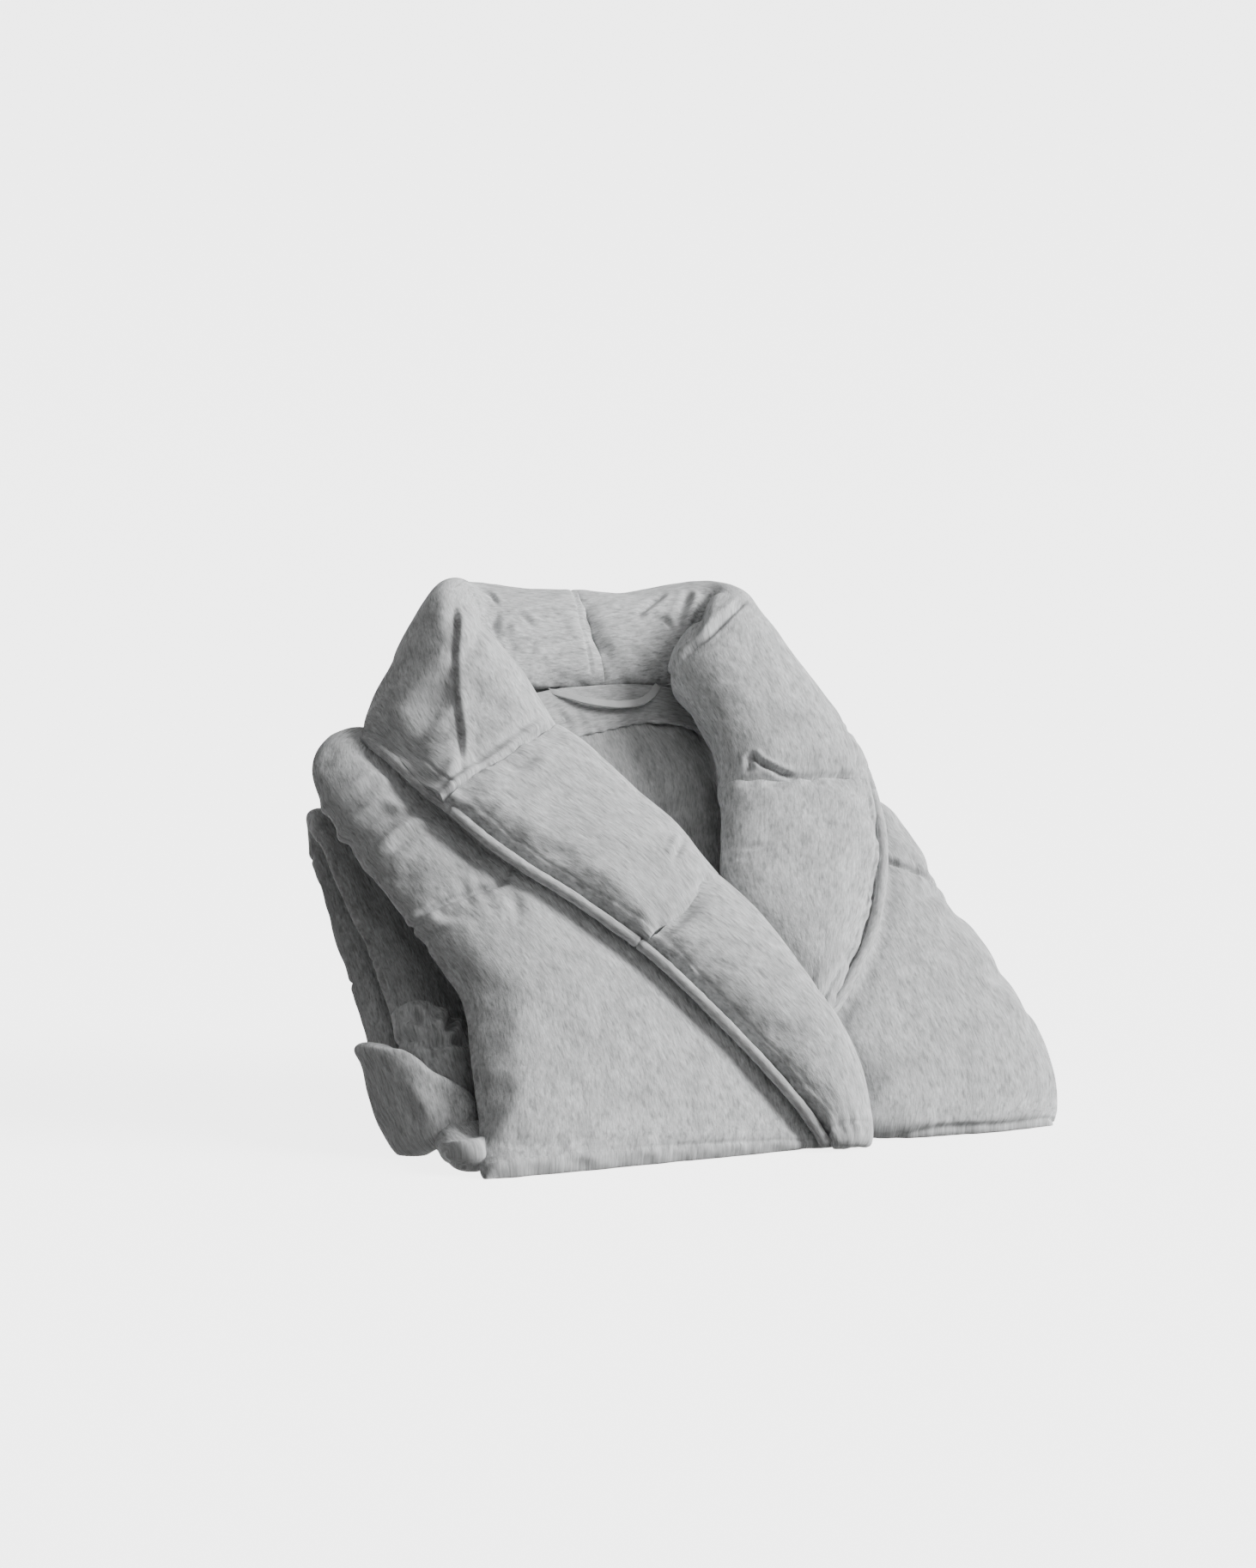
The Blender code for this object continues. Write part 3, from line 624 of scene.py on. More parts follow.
def stitches(name, host, line, body, sink=0.0001, pitch=STITCH_PITCH):
    """A row of top-stitches laid on a pad along a line of leaf points."""
    graph = bpy.context.evaluated_depsgraph_get()
    tree = BVHTree.FromObject(host, graph)
    spots = smooth_line(np.asarray(line, float)[:, :2], pitch)
    verts = []
    faces = []
    for a, b in zip(spots[:-1], spots[1:]):
        middle = (a + b) / 2
        start = Vector(to_world((middle[0], middle[1], CLEAR_OF_CLOTH)))
        hit, normal, _, _ = tree.ray_cast(start, -OUT)
        if hit is None:
            continue
        along = Vector(to_world((*b, 0.0)) - to_world((*a, 0.0))).normalized()
        normal = normal.normalized()
        along = (along - normal * along.dot(normal)).normalized()
        aside = normal.cross(along)
        first = len(verts)
        for place_on, girth in ((-0.5, 0.35), (-0.3, 1.0), (0.3, 1.0), (0.5, 0.35)):
            dip = THREAD_RADIUS * 1.6 * (2 * place_on) ** 2
            centre = hit + along * (place_on * STITCH_LENGTH) - normal * (sink + dip)
            for k in range(6):
                angle = math.pi * k / 3
                reach = THREAD_RADIUS * girth
                verts.append(centre + aside * (reach * math.cos(angle))
                             + normal * (reach * math.sin(angle)))
        for ring in range(3):
            for k in range(6):
                n = (k + 1) % 6
                low = first + ring * 6
                faces.append((low + k, low + n, low + 6 + n, low + 6 + k))
        faces.append(tuple(first + k for k in range(5, -1, -1)))
        faces.append(tuple(first + 18 + k for k in range(6)))
    mesh = bpy.data.meshes.new(name)
    mesh.from_pydata([tuple(v) for v in verts], [], faces)
    mesh.shade_smooth()
    row = new_object(name, mesh)
    finish_pad(row, "thread", "tape", body, fill=None)
    return row


# Finishes

def wire(tree, kind, **values):
    node = tree.nodes.new(kind)
    for key, value in values.items():
        if key in node.inputs:
            node.inputs[key].default_value = value
        else:
            setattr(node, key, value)
    return node


WHITE = (1.0, 1.0, 1.0)


def jersey(name, colour, grain, contrast=1.0, nap=1.0):
    """Marl jersey: light and dark fibres drawn along the grain, over a fine knit."""
    material = bpy.data.materials.new(name)
    material.use_nodes = True
    tree = material.node_tree
    link = tree.links.new
    shader = tree.nodes["Principled BSDF"]
    shader.inputs["Roughness"].default_value = 0.94
    shader.inputs["Specular IOR Level"].default_value = 0.18
    shader.inputs["Sheen Weight"].default_value = 0.16
    shader.inputs["Sheen Roughness"].default_value = 0.55
    shader.inputs["Sheen Tint"].default_value = (0.95, 0.97, 1.0, 1.0)
    ruler = wire(tree, "ShaderNodeAttribute", attribute_name="weave")

    def fibres(scale, detail, turn=0.0):
        mapping = wire(tree, "ShaderNodeMapping")
        mapping.inputs["Rotation"].default_value = (0.0, 0.0, grain + turn)
        mapping.inputs["Scale"].default_value = scale
        link(ruler.outputs["Vector"], mapping.inputs["Vector"])
        noise = wire(tree, "ShaderNodeTexNoise", Scale=1.0, Detail=detail, Roughness=0.6)
        link(mapping.outputs["Vector"], noise.inputs["Vector"])
        return noise.outputs["Fac"]

    def ramp(source, stops):
        node = wire(tree, "ShaderNodeValToRGB")
        elements = node.color_ramp.elements
        while len(elements) < len(stops):
            elements.new(0.5)
        for element, (position, share, tint) in zip(elements, stops):
            element.position = position
            element.color = (*(share * part for part in tint), 1.0)
        link(source, node.inputs["Fac"])
        return node.outputs["Color"]

    def times(first, second):
        node = wire(tree, "ShaderNodeMix", data_type="RGBA", blend_type="MULTIPLY")
        node.inputs["Factor"].default_value = 1.0
        link(first, node.inputs[6])
        link(second, node.inputs[7])
        return node.outputs[2]

    def span(low, high):
        return [(0.36, 1 - low * contrast, WHITE), (0.64, 1 + high * contrast, WHITE)]

    fine = ramp(fibres((1200.0, 170.0, 900.0), 3.0),
                [(0.36, 1 - 0.20 * contrast, colour), (0.64, 1 + 0.17 * contrast, colour)])
    flecks = ramp(fibres((520.0, 95.0, 450.0), 3.0, 0.10),
                  [(0.35, 1 - 0.30 * contrast, WHITE), (0.48, 1.0, WHITE),
                   (0.66, 1 + 0.11 * contrast, WHITE)])
    patches = ramp(fibres((130.0, 45.0, 90.0), 3.0), span(0.15, 0.11))
    shade = times(times(fine, flecks), patches)
    link(shade, shader.inputs["Base Color"])
    knit = wire(tree, "ShaderNodeBump", Strength=0.28 * nap, Distance=0.0004)
    link(fibres((1500.0, 420.0, 900.0), 2.0), knit.inputs["Height"])
    soft = wire(tree, "ShaderNodeBump", Strength=0.30 * nap, Distance=0.0010)
    link(fibres((300.0, 170.0, 200.0), 3.0), soft.inputs["Height"])
    link(knit.outputs["Normal"], soft.inputs["Normal"])
    link(soft.outputs["Normal"], shader.inputs["Normal"])
    return material


def make_finishes():
    colours = bpy.context.scene.robe_colours
    jersey("shell_upright", colours.shell, 0.0)
    jersey("shell_bias", colours.shell, 0.75)
    jersey("lining", colours.lining, 0.35, contrast=0.8)
    jersey("binding", colours.binding, 0.2, contrast=0.8, nap=1.2)
    jersey("tape", colours.binding, 1.57, contrast=0.6)
    jersey("thread", colours.thread, 0.0, contrast=0.3)


# The pieces

def front_right():
    """The right front with its sleeve head: the widest panel, hemmed at the foot."""
    sizes = bpy.context.scene.robe_sizes
    side = mm([(-222.5, 1.5, -5), (-216.5, 22, -17), (-208.8, 51.5, -23), (-202, 85.5, -27),
               (-197.2, 116.5, -29), (-193.5, 142.5, -31), (-193.8, 160.5, -32), (-200.5, 185.5, -34),
               (-209, 210, -36), (-214.2, 224, -37), (-223.5, 248, -38), (-234.2, 274.9, -40),
               (-244.6, 305.1, -44), (-251.8, 334.1, -46), (-252, 358.5, -48), (-244, 378, -50),
               (-228, 392, -52), (-206, 400, -53)])
    inner = mm([(50, 1.5, -5), (51, 20, -13), (52, 46, -14.3), (47, 76, -14.3), (38, 106, -14.3),
                (28, 133, -14.3), (20, 152, -14.3), (9, 172, -14.3), (-3, 194, -14.3), (-12, 209, -14.3),
                (-26, 231, -14.3), (-44, 257, -14.3), (-64, 284, -16), (-80, 309, -20), (-90, 329, -28),
                (-100, 349, -38), (-110, 364, -46), (-120, 377, -52)])
    shares = [0.0, 0.07, 0.20, 0.40, 0.62, 0.84, 1.0]
    lifts = [-0.002, 0.0015, 0.0030, 0.0025, 0.0010, 0.0, 0.0]
    bulges = [0.0, 0.13, 0.32, 0.44, 0.35, 0.16, 0.0]
    sections = spread(side, inner, shares, lifts, bulges)
    hem = mm([(-214, 16.5), (-120, 13.5), (-30, 11), (45, 8.5)])
    under_binding = BINDING_RIGHT[:13, :2] - mm((8, 6))

    detail = sewn(
        (crumple, sizes.crumple, 21),
        (seam, RIGHT_ARMHOLE, sizes.seam_depth),
        (puckers, RIGHT_ARMHOLE, 0.0009, 0.014, 0.017, 4),
        (seam, hem, 0.0013, 0.0013),
        (puckers, hem, 0.00035, 0.010, 0.013, 9),
        *[(roll, fold, 0.0030, 0.0055, 0.010) for fold in SHOULDER_FOLDS],
        *[(crease, shift(fold, 0.0085), 0.0010, 0.0040, 0.3, 0.015) for fold in SHOULDER_FOLDS],
        (hollow, shift(BINDING_RIGHT[8:14], -0.004), 0.0075, 0.0125),
        (crease, mm([(-150, 236), (-146, 215), (-150, 196)]), 0.0022, 0.0050),
        (crease, mm([(-222, 213), (-208, 206), (-190, 205)]), 0.0022, 0.0040),
        (hollow, under_binding, 0.0030, 0.007),
    )

    piece = sewn_pad("front_right", sections, BODY_PAD, (0.007, 0.011, 0.014, 0.008),
                     [RIGHT_ARMHOLE, hem], detail)
    finish_pad(piece, "shell_upright", "shell_jersey", "root", "front_right_shell",
               "front_right_wadding", "front_right_lining", "sleeve_head_right")
    stitches("hem_stitches_right", piece, hem, "root")
    stitches("armhole_stitches_right", piece, shift(RIGHT_ARMHOLE, 0.0045), "root")


def front_left():
    """The left front with its sleeve head; it sinks under the right one."""
    sizes = bpy.context.scene.robe_sizes
    depths = [-0.037, -0.0325, -0.0165, -0.0143, -0.0190]
    inner = mm([(44, 47), (40, 66), (34, 90), (24, 118), (12, 145), (6, 170), (30, 195), (46, 215),
                (52, 235), (56, 258), (62, 285), (68, 312), (74, 340)])
    near = mm([(62, 38), (66, 58), (62, 85), (54, 112), (44, 140), (40, 166), (56, 192), (68, 213),
               (72, 233), (76, 256), (80, 284), (86, 311), (90, 340)])
    rise = mm([(90, 10), (100, 36), (102, 66), (100, 96), (98, 127), (99, 155), (101, 183), (103, 207),
               (105, 230), (109, 255), (113, 283), (116, 311), (117, 341)])
    wide = mm([(155, 1.5), (166, 27), (172, 57), (172, 89), (169, 120), (166, 149), (161, 177),
               (156, 202), (153, 226), (151, 252), (149, 281), (147, 310), (144, 340)])
    outer = mm([(223.5, 2.5), (240.5, 21), (249, 49), (251, 81), (246.5, 112), (239, 142), (228.5, 172),
                (214, 200), (206, 220), (204.5, 245), (196.5, 277), (184, 306), (170, 338)])
    sections = []
    for i, points in enumerate(zip(inner, near, rise, wide, outer)):
        row = [(u, v, d) for (u, v), d in zip(points, depths)]
        if i == 0:
            row = [(u, v, d) for (u, v), d in zip(points, (-0.037, -0.030, -0.012, -0.005, -0.005))]
        if i > 9:
            row = [(u, v, d - 0.003 * (i - 9)) for u, v, d in row]
        sections.append(row)
    hem = mm([(66, 8), (120, 8.5), (180, 6.5), (232, 10)])
    under_binding = BINDING_LEFT[:10, :2] + mm((8, -4))

    detail = sewn(
        (crumple, sizes.crumple, 33),
        (seam, LEFT_ARMHOLE, sizes.seam_depth),
        (puckers, LEFT_ARMHOLE, 0.0008, 0.014, 0.016, 5),
        (seam, hem, 0.0013, 0.0013),
        (puckers, hem, 0.00035, 0.010, 0.013, 10),
        (crease, mm([(208, 213), (196, 204), (176, 200)]), 0.0025, 0.0045),
        (hollow, under_binding, 0.0030, 0.007),
    )

    piece = sewn_pad("front_left", sections, [0.020, 0.020, 0.0225, 0.0225, 0.0225],
                     (0.007, 0.010, 0.008, 0.013), [LEFT_ARMHOLE, hem], detail)
    finish_pad(piece, "shell_upright", "shell_jersey", "root", "front_left_shell",
               "front_left_wadding", "front_left_lining", "sleeve_head_left")
    stitches("hem_stitches_left", piece, hem, "root")


def back_panel():
    """The upper back, lining outward: it shows inside the neck and falls away at the left."""
    sizes = bpy.context.scene.robe_sizes
    heights = [0.092, 0.130, 0.180, 0.225, 0.265, 0.305, 0.345, 0.375, 0.405, 0.430]
    falls = [0.030, 0.032, 0.036, 0.045, 0.054, 0.0645, 0.0745, 0.0735, 0.066, 0.056]
    sides = [-0.165, -0.166, -0.168, -0.172, -0.178, -0.182, -0.184, -0.180, -0.165, -0.110]
    sections = []
    for up, fall, side in zip(heights, falls, sides):
        row = [(side, up, -0.0630), (side + 0.05, up, -0.0625), (-0.045, up, -0.0620),
               (fall - 0.045, up, -0.0615), (fall - 0.010, up, -0.0630), (fall + 0.009, up, -0.0720),
               (fall + 0.045, up, -0.0740), (fall + 0.100, up, -0.0700)]
        sections.append(row)
    edge = [(fall + 0.002, up) for fall, up in zip(falls, heights)]

    detail = sewn(
        (crumple, sizes.crumple * 1.3, 45),
        (crease, mm([(-20, 377), (-10, 386), (4, 389)]), 0.0016, 0.0030),
        (puckers, edge, 0.0012, 0.016, 0.031, 6),
        (crease, mm([(4, 300), (26, 316), (52, 322)]), 0.0014, 0.0060),
    )

    piece = sewn_pad("back_panel", sections,
                     [0.018, 0.021, 0.022, 0.022, 0.020, 0.012, 0.010, 0.012],
                     (0.006, 0.006, 0.009, 0.006), [], detail)
    finish_pad(piece, "lining", "lining_jersey", "root", "back_shell", "back_wadding", "back_lining")


def neck_facing():
    """A shaped band sewn over the lining under the neck seam."""
    low = mm([(-84, 367), (-41, 383.5), (-15, 389), (1, 392.5), (18, 395.5), (34, 395.5), (54, 392.5),
              (70, 386), (83, 374)])
    high = mm([(-94, 419), (-45, 429), (-18, 431), (1, 432), (18, 432), (34, 431), (54, 428), (70, 420),
               (86, 405)])
    depth = [-0.0462, -0.0450, -0.0448, -0.0448, -0.0448, -0.0448, -0.0452, -0.0480, -0.0560]
    left = [(u, v, d) for (u, v), d in zip(low, depth)]
    right = [(u, v, d + 0.001) for (u, v), d in zip(high, depth)]
    sections = np.stack([right, left], axis=1)

    detail = sewn(
        (seam, [(u, v + 0.0055) for u, v in low], 0.0006, 0.0012),
        (puckers, low, 0.0007, 0.010, 0.012, 8),
        (crease, mm([(-52, 412), (-44, 402), (-40, 388)]), 0.0020, 0.0035),
        (crease, mm([(-36, 410), (-30, 402), (-30, 392)]), 0.0014, 0.0030),
    )

    piece = loft("facing_band", sections, 0.0022, (0.001, 0.001, 0.001, 0.001), 0.005)
    refine(piece, 2)
    press(piece, detail, both_sides=True)
    finish_pad(piece, "lining", "lining_jersey", "root", "neck_facing", fill=None)
    row = stitches("facing_stitches", piece, [(u, v + 0.0055) for u, v in low], "root")


def hanging_loop():
    """A flat tape sewn at its two ends, sagging clear of the neck facing."""
    lower = mm([(-47.5, 423.5, -43.6), (-35, 416, -40), (-22, 409, -37), (-1, 405, -36.2),
                (21, 407, -36.8), (36, 416.5, -39.5), (45.5, 427.5, -43.4)])
    upper = mm([(-49.5, 430.5, -44), (-36, 423.2, -40.8), (-22, 416.5, -38), (-1, 412.2, -37),
                (20, 414, -37.6), (33, 422.5, -40.2), (42.5, 432.5, -44)])
    sections = np.stack([upper, lower], axis=1)
    piece = loft("loop_tape", sections, TAPE_CLOTH, (0.0006, 0.0006, 0.0006, 0.0006), 0.0025)
    refine(piece, 1)
    press(piece, lambda flat: 0.00025 * cloud(flat, 0.004, 3), both_sides=True)
    finish_pad(piece, "tape", "tape", "loop", "hanging_loop", fill=None)
    edges = [[(u, v + 0.0014) for u, v, _ in lower], [(u, v - 0.0014) for u, v, _ in upper]]
    rows = [stitches(f"loop_stitches_{name}", piece, line, "loop", pitch=0.0030)
            for name, line in zip(("lower", "upper"), edges)]


# From the lapel seam, over the shoulder and round to the centre-back seam

COLLAR_RIGHT = mm([
    [(-184.5, 297, 6), (-178, 301.5, 8), (-163, 310.5, 8.5), (-138, 324.5, 8.5),
     (-112, 340, 8.5), (-93, 352.5, 6), (-81.5, 359, -2), (-86, 363, -16)],
    [(-189.5, 318, -6), (-182.5, 322.5, -0.5), (-168.3, 330, 6), (-147.5, 340.3, 8.5),
     (-122, 355, 11), (-101, 368, 8.5), (-88, 377, -2), (-92, 378, -19)],
    [(-197.6, 343, -19), (-188.5, 346.5, -12), (-174.8, 348.7, 1), (-153.2, 358.3, 8.5),
     (-129, 373, 12.5), (-108, 386, 9.5), (-94, 396, -3), (-97, 397, -21)],
    [(-202.5, 366, -31), (-194.5, 371.5, -22), (-178.9, 372.1, -4), (-156.2, 379.3, 8),
     (-133, 392, 13.5), (-113, 404, 9), (-99, 413, -5), (-99, 414, -25)],
    [(-203.6, 382.4, -44), (-196.6, 393, -32), (-177.8, 396.9, -9), (-156.2, 402.6, 6.5),
     (-137, 412, 13), (-118, 423, 8), (-105, 431, -9), (-101, 431, -29)],
    [(-188.6, 392.7, -60), (-192.6, 407.9, -44), (-174.7, 418.5, -17), (-153, 427, 3),
     (-139, 436, 10), (-124, 445, 5), (-112, 451, -12), (-103, 449, -33)],
    [(-168, 408, -70), (-176, 428, -48), (-164, 443, -23), (-148, 455, -5), (-138, 463, 1),
     (-126, 469, -3), (-114, 471, -18), (-103, 465, -37)],
    [(-140, 428, -82), (-151, 460, -58), (-145, 476, -35), (-137, 486, -18), (-129, 492, -12),
     (-119, 492, -14), (-108, 484, -28), (-98, 462, -42)],
    [(-113, 438, -88), (-123, 484, -69), (-120, 503, -51), (-115, 512, -37), (-109, 515, -30),
     (-101, 509, -30), (-94, 486, -38), (-87, 446, -46)],
    [(-80, 445, -90), (-84, 489, -80), (-85, 515, -68), (-85, 524, -56), (-83, 522, -45),
     (-80, 506, -40), (-76, 476, -42), (-72, 435, -48)],
    [(-40, 448, -92), (-41, 491, -84), (-42, 516, -73), (-42, 523, -60), (-42, 519, -49),
     (-41, 503, -44), (-39, 473, -45), (-37, 433, -49)],
    [(-0.3, 449, -92), (-0.3, 491, -85), (-0.3, 515, -74), (-0.3, 521, -61), (-0.3, 517, -50),
     (-0.3, 501, -46), (-0.3, 471, -46), (-0.3, 433, -50)],
])

# From the tuck, over the shoulder and round to the centre-back seam

COLLAR_LEFT = mm([
    [(163, 300, 4), (154, 300, 7.5), (136, 299.5, 9), (113, 299, 9), (90, 300, 8.5),
     (69, 301.5, 6), (54, 303.5, -3), (58, 304, -19)],
    [(166, 321, 1), (157, 320.5, 6), (138, 318.5, 10.5), (116, 318, 12), (94, 318, 12),
     (73, 319, 8.5), (60, 321, -3), (63, 322, -21)],
    [(162, 346, -7), (156, 345, 2), (138, 343, 10.5), (116, 342, 14), (94, 344, 13),
     (73, 347, 8.5), (61, 350, -3), (64, 351, -23)],
    [(156, 375, -21), (153, 376, -6), (137, 375, 7.5), (114, 375, 13), (90, 377, 13),
     (68, 380, 8), (55, 384, -5), (57, 385, -26)],
    [(148, 400, -37), (148, 405, -17), (133, 408, 1), (110, 410, 9), (86, 410, 10.5),
     (64, 409, 6), (50, 408, -8), (51, 406, -30)],
    [(140, 421, -53), (144, 433, -30), (132, 439, -8), (113, 441, 2), (92, 438, 5),
     (71, 433, 1), (56, 427, -13), (54, 421, -34)],
    [(130, 433, -69), (139, 458, -43), (131, 465, -20), (118, 465, -9), (103, 462, -5),
     (86, 456, -9), (71, 450, -21), (61, 438, -40)],
    [(120, 442, -80), (133, 480, -61), (133, 493, -39), (128, 496, -27), (120, 493, -22),
     (109, 486, -25), (90, 470, -35), (66, 443, -44)],
    [(99, 445, -88), (112, 488, -76), (116, 509, -61), (116, 516, -49), (113, 514, -40),
     (106, 503, -37), (90, 477, -42), (68, 441, -47)],
    [(68, 447, -90), (78, 489, -82), (83, 514, -71), (85, 522, -58), (85, 519, -48),
     (82, 504, -43), (74, 476, -44), (62, 437, -48)],
    [(36, 448, -92), (40, 490, -85), (42, 515, -74), (42, 521, -61), (42, 517, -51),
     (41, 501, -46), (38, 472, -46), (34, 434, -49)],
    [(0.3, 449, -92), (0.3, 491, -85), (0.3, 515, -74), (0.3, 521, -61), (0.3, 517, -50),
     (0.3, 501, -46), (0.3, 471, -46), (0.3, 433, -50)],
])


def collar():
    """Both halves of the shawl collar."""
    sizes = bpy.context.scene.robe_sizes
    deep = mm([(-130, 479), (-138, 450), (-148, 420), (-154.5, 393), (-157, 372), (-161, 342), (-166, 320)])

    right_detail = sewn(
        (crumple, sizes.crumple, 51),
        (crease, deep, sizes.crease_depth, 0.0017, 0.10, 0.03),
        (overhang, deep, 0.0026, 0.012, 0.03),
        (roll, shift(LAPEL_SEAM, -0.0050), 0.0030, 0.0034, 0.012),
        (crease, shift(LAPEL_SEAM, -0.0105), 0.0016, 0.0030, 0.2),
        (crease, mm([(-176, 311), (-166, 322), (-160, 334)]), 0.0030, 0.0035),
        (crease, mm([(-88, 521), (-78, 515), (-77, 500)]), 0.0016, 0.0020, 0.4, 0.008),
        (crease, mm([(-99, 512), (-95.5, 497)]), 0.0014, 0.0020, 0.3, 0.006),
        (crease, mm([(-74, 500), (-85, 482), (-86, 466)]), 0.0024, 0.0030),
        (crease, mm([(-64, 494), (-57, 484), (-48, 474)]), 0.0020, 0.0030, 0.5, 0.014),
        (crease, mm([(-64, 476), (-74, 464), (-83, 452)]), 0.0022, 0.0030),
        (crease, mm([(-48, 474), (-58, 462), (-64, 450)]), 0.0022, 0.0034),
        (roll, mm([(-72, 492), (-70, 476), (-76, 460)]), 0.0026, 0.0046),
        (crease, mm([(-36, 500), (-28, 484), (-36, 468)]), 0.0016, 0.0060),
        (seam, CENTRE_BACK, 0.0024, 0.0011, 0.0),
        (seam, shift(BINDING_RIGHT[8:13], 0.0095), 0.0008, 0.0009, 0.0),
    )

    piece = sewn_pad("collar_half_right", overlap(COLLAR_RIGHT, 0.0026, 0.0014), COLLAR_PAD,
                     (0.002, 0.0015, 0.007, 0.008), [deep], right_detail)
    finish_pad(piece, "shell_bias", "shell_jersey", COLLAR_RIGHT_TURN, "collar_right")

    main = mm([(120.5, 482.6), (91.8, 457), (66.8, 437.3), (53.4, 431.4), (44.7, 420.4)])
    beside_binding = mm([(154.1, 303.6), (157, 330), (155, 356), (148, 385)])
    slit = mm([(65.6, 323.7), (71.9, 312.4), (83.4, 303.6), (97.1, 300.8)])

    left_detail = sewn(
        (crumple, sizes.crumple, 51),
        (crease, main, 0.0050, 0.0022, 0.15, 0.012),
        (overhang, main, -0.0030, 0.012, 0.012),
        (crease, mm([(76.2, 517.1), (53.5, 500.8), (36.8, 489.3)]), 0.0034, 0.0028, 0.5, 0.012),
        (crease, mm([(41.3, 484.1), (60.1, 485.6), (66.2, 473)]), 0.0026, 0.0028, 0.4, 0.010),
        (crease, mm([(95.1, 517.4), (81.5, 496.6), (68.7, 476.9)]), 0.0034, 0.0032, 0.5, 0.010),
        (crease, mm([(109.5, 505), (99, 497.4), (71.5, 455.5), (56.1, 437.2)]),
         0.0044, 0.0034, 0.4, 0.015),
        (crease, mm([(53, 384), (68, 388), (86, 386)]), 0.0014, 0.0040),
        (crease, mm([(60, 307), (64, 313), (65.6, 323.7)]), 0.0030, 0.0022, 0.5, 0.006),
        (crease, slit, 0.0056, 0.0018, 0.35, 0.006),
        (roll, shift(TUCK_SEAM, -0.0050), 0.0016, 0.0030, 0.012),
        (seam, CENTRE_BACK, 0.0024, 0.0011, 0.0),
        (seam, beside_binding, 0.0012, 0.0010, 0.15),
        (puckers, mm([(160, 300), (160, 330), (156, 352)]), 0.0006, 0.010, 0.012, 3),
    )

    piece = sewn_pad("collar_half_left", overlap(COLLAR_LEFT[:, ::-1], 0.0026, 0.0014), COLLAR_PAD,
                     (0.0015, 0.0015, 0.008, 0.007), [], left_detail)
    finish_pad(piece, "shell_upright", "shell_jersey", COLLAR_LEFT_TURN, "collar_left")


def lapel_right():
    """The right lapel, between its seam with the collar and the seam with its band."""
    sizes = bpy.context.scene.robe_sizes
    sections = mm([[(-62, 171.5, 6.5), (-49, 178.5, 8.5), (-31.5, 190.5, 9), (-13.5, 205.5, 8.5),
                    (8.5, 225, 2), (3, 229, -14)],
                   [(-80, 192.5, 6.5), (-65, 201, 9), (-44, 214, 9.5), (-22, 229, 9), (-2.5, 242.5, 2),
                    (-8, 246, -14)],
                   [(-100.5, 214.5, 6.5), (-83, 224, 9), (-60, 238, 9.5), (-36, 253, 9), (-16.5, 267, 2),
                    (-22, 270, -14)],
                   [(-130, 240.5, 6.5), (-110, 249.5, 9), (-84, 263, 9.5), (-58, 277, 9),
                    (-35.5, 291.5, 2), (-41, 294, -14)],
                   [(-155, 265, 6.5), (-134, 274, 9), (-107, 288, 9.5), (-79, 304, 9), (-52.5, 320, 2),
                    (-58, 323, -14)],
                   [(-170, 282, 6.5), (-150, 293, 9), (-121, 308, 9.5), (-93, 324, 9), (-66.5, 341, 2),
                    (-72, 344, -14)],
                   [(-182.5, 295.5, 6), (-163, 308.5, 8), (-135, 324.5, 9), (-108, 340.5, 8.5),
                    (-80, 357, 2), (-85, 360, -14)]])

    detail = sewn(
        (crumple, sizes.crumple, 51),
        (crease, mm([(-27, 229), (-18, 241), (-9, 251)]), 0.0026, 0.0026, 0.5, 0.008),
        (crease, mm([(-150, 312), (-120, 318), (-98, 338)]), 0.0014, 0.0050),
        (crease, mm([(2.3, 219.8), (-7.6, 210.3), (-22.7, 202.1)]), 0.0016, 0.0030, 0.4, 0.008),
        (puckers, BINDING_RIGHT[4:11, :2], 0.0007, 0.010, 0.012, 12),
        (seam, shift(BINDING_RIGHT[4:11], 0.0105), 0.0006, 0.0009, 0.0),
        (puckers, BAND_SEAM, 0.0006, 0.010, 0.013, 13),
        (puckers, LAPEL_SEAM, 0.0006, 0.010, 0.013, 14),
        (roll, mm([(-120, 268), (-80, 262), (-40, 236)]), 0.0018, 0.0120, 0.03),
    )

    piece = sewn_pad("lapel_pad_right", overlap(sections, 0.0030, 0.0026), LAPEL_PAD,
                     (0.0015, 0.0018, 0.005, 0.008), [], detail)
    finish_pad(piece, "shell_bias", "shell_jersey", "flap_right", "lapel_right")
    stitched = shift(smooth_line(BINDING_RIGHT[5:11], 0.01), 0.0088)
    stitches("lapel_stitches_right", piece, stitched, "flap_right")


